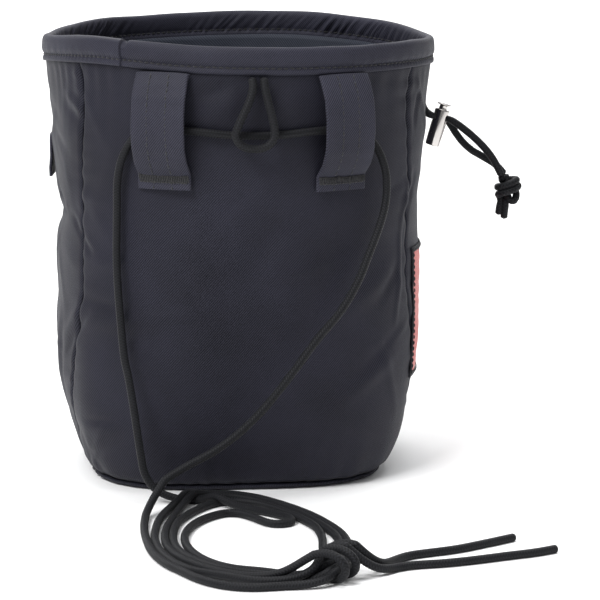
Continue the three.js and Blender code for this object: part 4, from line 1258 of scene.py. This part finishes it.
# The knot: each strand's route through it, in cord diameters from its middle
KNOT_FIRST = [
    (-0.89, -0.54, 2.1), (-0.72, -0.1, 1.65), (-0.55, 0.5, 1.3), (0.2, 0.85, 1.3), (1.05, 0.5, 1.4),
    (1.25, -0.25, 1.4), (0.7, -0.82, 1.15), (-0.1, -0.95, 0.85), (-0.95, -0.72, 0.55),
    (-1.3, -0.05, 0.45), (-0.9, 0.65, 0.4), (0.1, 0.95, 0.4), (1.15, 0.6, 0.6), (1.5, -0.1, 0.6),
    (1.05, -0.78, 0.3), (0.15, -1.0, 0.0), (-0.75, -0.85, -0.28), (-1.2, -0.25, -0.5),
    (-1.0, 0.3, -0.8), (-0.8, 0.25, -1.5), (-1.0, 0.05, -2.3), (-1.15, -0.05, -3.4),
]
KNOT_SECOND = [
    (-0.25, 0.54, 2.1), (-0.05, 0.3, 1.6), (-0.1, 0.05, 1.0), (-0.1, 0.0, 0.2), (0.0, -0.05, -0.5),
    (0.3, -0.3, -1.2), (0.8, -0.45, -1.45), (1.2, -0.25, -1.0),
    (1.25, 0.15, -0.35), (0.9, 0.6, -0.1),
    (0.2, 0.85, -0.4), (-0.35, 0.6, -0.9), (-0.25, 0.1, -1.4), (-0.25, -0.15, -2.2),
    (-0.35, -0.1, -3.1), (-0.4, -0.1, -3.95),
]


def pinched(points):
    """Cords are squeezed where the lock holds them."""
    off = np.linalg.norm(points[:, ::2] - LOCK_PLACE[::2] * MM, axis=1)
    return 1 - 0.42 * np.exp(-(off / (3.0 * MM)) ** 2)


def make_drawcord():
    first = INNER_FRONT + [(77.6, 11.45, 127.85)] + OUTER_UPPER
    second = INNER_REAR + [(77.8, 12.55, 127.75)] + OUTER_LOWER
    knot_first = np.array(KNOT_FIRST) * (CORD / MM) + KNOT_PLACE
    knot_second = np.array(KNOT_SECOND) * (CORD / MM) + KNOT_PLACE
    line_first = smooth_line(np.array(first) * MM, 0.4 * MM)
    line_second = smooth_line(np.array(second) * MM, 0.4 * MM)
    pieces = []
    for name, line, nodes in (
        ("drawcord_front", line_first, ("drawcord_inner_front", "drawcord_outer_upper")),
        ("drawcord_rear", line_second, ("drawcord_inner_rear", "drawcord_outer_lower")),
    ):
        tube, path = cord_piece(name, line, DRAW_BRAID, squeeze=pinched)
        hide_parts(*nodes)
        pieces.append((tube, path))
    rolls = []
    for name, line in (("knot_roll_first", knot_first), ("knot_roll_second", knot_second)):
        tube, _ = cord_piece(name, smooth_line(line * MM, 0.4 * MM), DRAW_BRAID)
        rolls.append(tube)
    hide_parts("drawcord_knot")
    return pieces, rolls


draw_pieces, knot_rolls = make_drawcord()


# Cord lock

LOCK_TILT = math.radians(16)
LOCK_TOP = 3.4
LOCK_FOOT = LOCK_TOP - 14.2


def turned(name, profile, body, node, cut):
    """A polished part of revolution about the lock's axis, with the cord hole through it."""
    sides = 72
    curve = np.array(profile) * MM
    angle = np.linspace(0, 2 * math.pi, sides, endpoint=False)
    inner = curve[1:-1]
    points = np.stack([
        inner[None, :, 0] * np.cos(angle)[:, None], inner[None, :, 0] * np.sin(angle)[:, None],
        np.broadcast_to(inner[None, :, 1], (sides, len(inner))),
    ], axis=-1).reshape(-1, 3)
    rows = len(inner) - 1
    faces = grid_faces(sides, rows, around=True)
    ends = len(points)
    for i in range(sides):
        n = (i + 1) % sides
        faces.append((i * (rows + 1), ends, n * (rows + 1)))
        faces.append((i * (rows + 1) + rows, n * (rows + 1) + rows, ends + 1))
    points = np.vstack([points, [0, 0, curve[0, 1]], [0, 0, curve[-1, 1]]])
    part = new_object(name, points, faces)
    low, high, width = cut
    bm = bmesh.new()
    bmesh.ops.create_cube(bm, size=1)
    for vertex in bm.verts:
        vertex.co.x *= 12 * MM
        vertex.co.y *= width * MM
        vertex.co.z = (low if vertex.co.z < 0 else high) * MM
    mesh = bpy.data.meshes.new("cutter")
    bm.to_mesh(mesh)
    bm.free()
    cutter = bpy.data.objects.new("cutter", mesh)
    bpy.context.scene.collection.objects.link(cutter)
    add_modifier(part, "BOOLEAN", operation="DIFFERENCE", object=cutter, solver="EXACT")
    apply_modifiers(part)
    bpy.data.objects.remove(cutter)
    add_modifier(part, "BEVEL", width=0.12 * MM, segments=2, limit_method="ANGLE")
    apply_modifiers(part)
    part.data.polygons.foreach_set("use_smooth", [True] * len(part.data.polygons))
    part.data.set_sharp_from_angle(angle=math.radians(28))
    turn = Matrix.Rotation(LOCK_TILT, 4, "Y")
    part.data.transform(Matrix.Translation(Vector(LOCK_PLACE * MM)) @ turn)
    wear(part, NICKEL)
    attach(part, body)
    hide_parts(node)
    return part


barrel = turned("lock_barrel", (
    (0, LOCK_FOOT), (2.2, LOCK_FOOT), (2.6, LOCK_FOOT + 0.08), (2.8, LOCK_FOOT + 0.3),
    (2.85, LOCK_FOOT + 0.6), (2.85, LOCK_TOP - 0.5), (2.8, LOCK_TOP - 0.2), (2.65, LOCK_TOP),
    (2.35, LOCK_TOP), (2.25, LOCK_TOP - 0.15), (2.25, LOCK_FOOT + 1.5), (0, LOCK_FOOT + 1.5),
), "bag", "cord_lock_barrel", (-1.8, 1.8, 2.6))
plunger = turned("lock_plunger", (
    (0, LOCK_FOOT + 4.2), (2.0, LOCK_FOOT + 4.2), (2.0, LOCK_TOP - 0.3), (1.6, LOCK_TOP + 0.3),
    (1.5, LOCK_TOP + 1.0), (1.65, LOCK_TOP + 1.55), (2.4, LOCK_TOP + 1.75), (2.75, LOCK_TOP + 1.9),
    (2.85, LOCK_TOP + 2.1), (2.7, LOCK_TOP + 2.28), (2.2, LOCK_TOP + 2.3), (0, LOCK_TOP + 2.3),
), "plunger", "cord_lock_plunger", (-1.55, 3.3, 2.6))


# Floor and light

def make_floor():
    bpy.ops.mesh.primitive_plane_add(size=12)
    floor = bpy.context.object
    floor.name = "floor"
    finish = Finish("floor")
    finish.colour(finish.mix(finish.noise(3, 2), grey(248, 248, 248), grey(252, 252, 252)))
    finish.set(Roughness=0.8)
    floor.data.materials.append(finish.material)


def make_light(name, place, aim, size, power, color=(1, 1, 1)):
    data = bpy.data.lights.new(name, "AREA")
    data.shape = "RECTANGLE"
    data.size, data.size_y = size
    data.energy = power
    data.color = color
    light = bpy.data.objects.new(name, data)
    light.location = place
    light.rotation_mode = "QUATERNION"
    light.rotation_quaternion = (Vector(aim) - Vector(place)).to_track_quat("-Z", "Y")
    bpy.context.scene.collection.objects.link(light)


def make_world():
    world = bpy.data.worlds.new("world")
    world.use_nodes = True
    world.node_tree.nodes["Background"].inputs["Color"].default_value = (0.97, 0.98, 1.0, 1)
    world.node_tree.nodes["Background"].inputs["Strength"].default_value = 0.3
    bpy.context.scene.view_settings.view_transform = "Standard"
    bpy.context.scene.world = world


make_floor()
make_world()
make_light("key", (-1.0, -1.1, 1.6), (0, 0, 0.08), (0.9, 0.9), 42)
make_light("fill", (1.4, -0.9, 0.9), (0, 0, 0.08), (1.0, 1.4), 1)
make_light("top", (0.1, 0.3, 1.8), (0, 0, 0.1), (1.6, 1.2), 26)
make_light("far", (0, 3.6, 1.6), (0, 3.4, 0), (6, 3.4), 170)
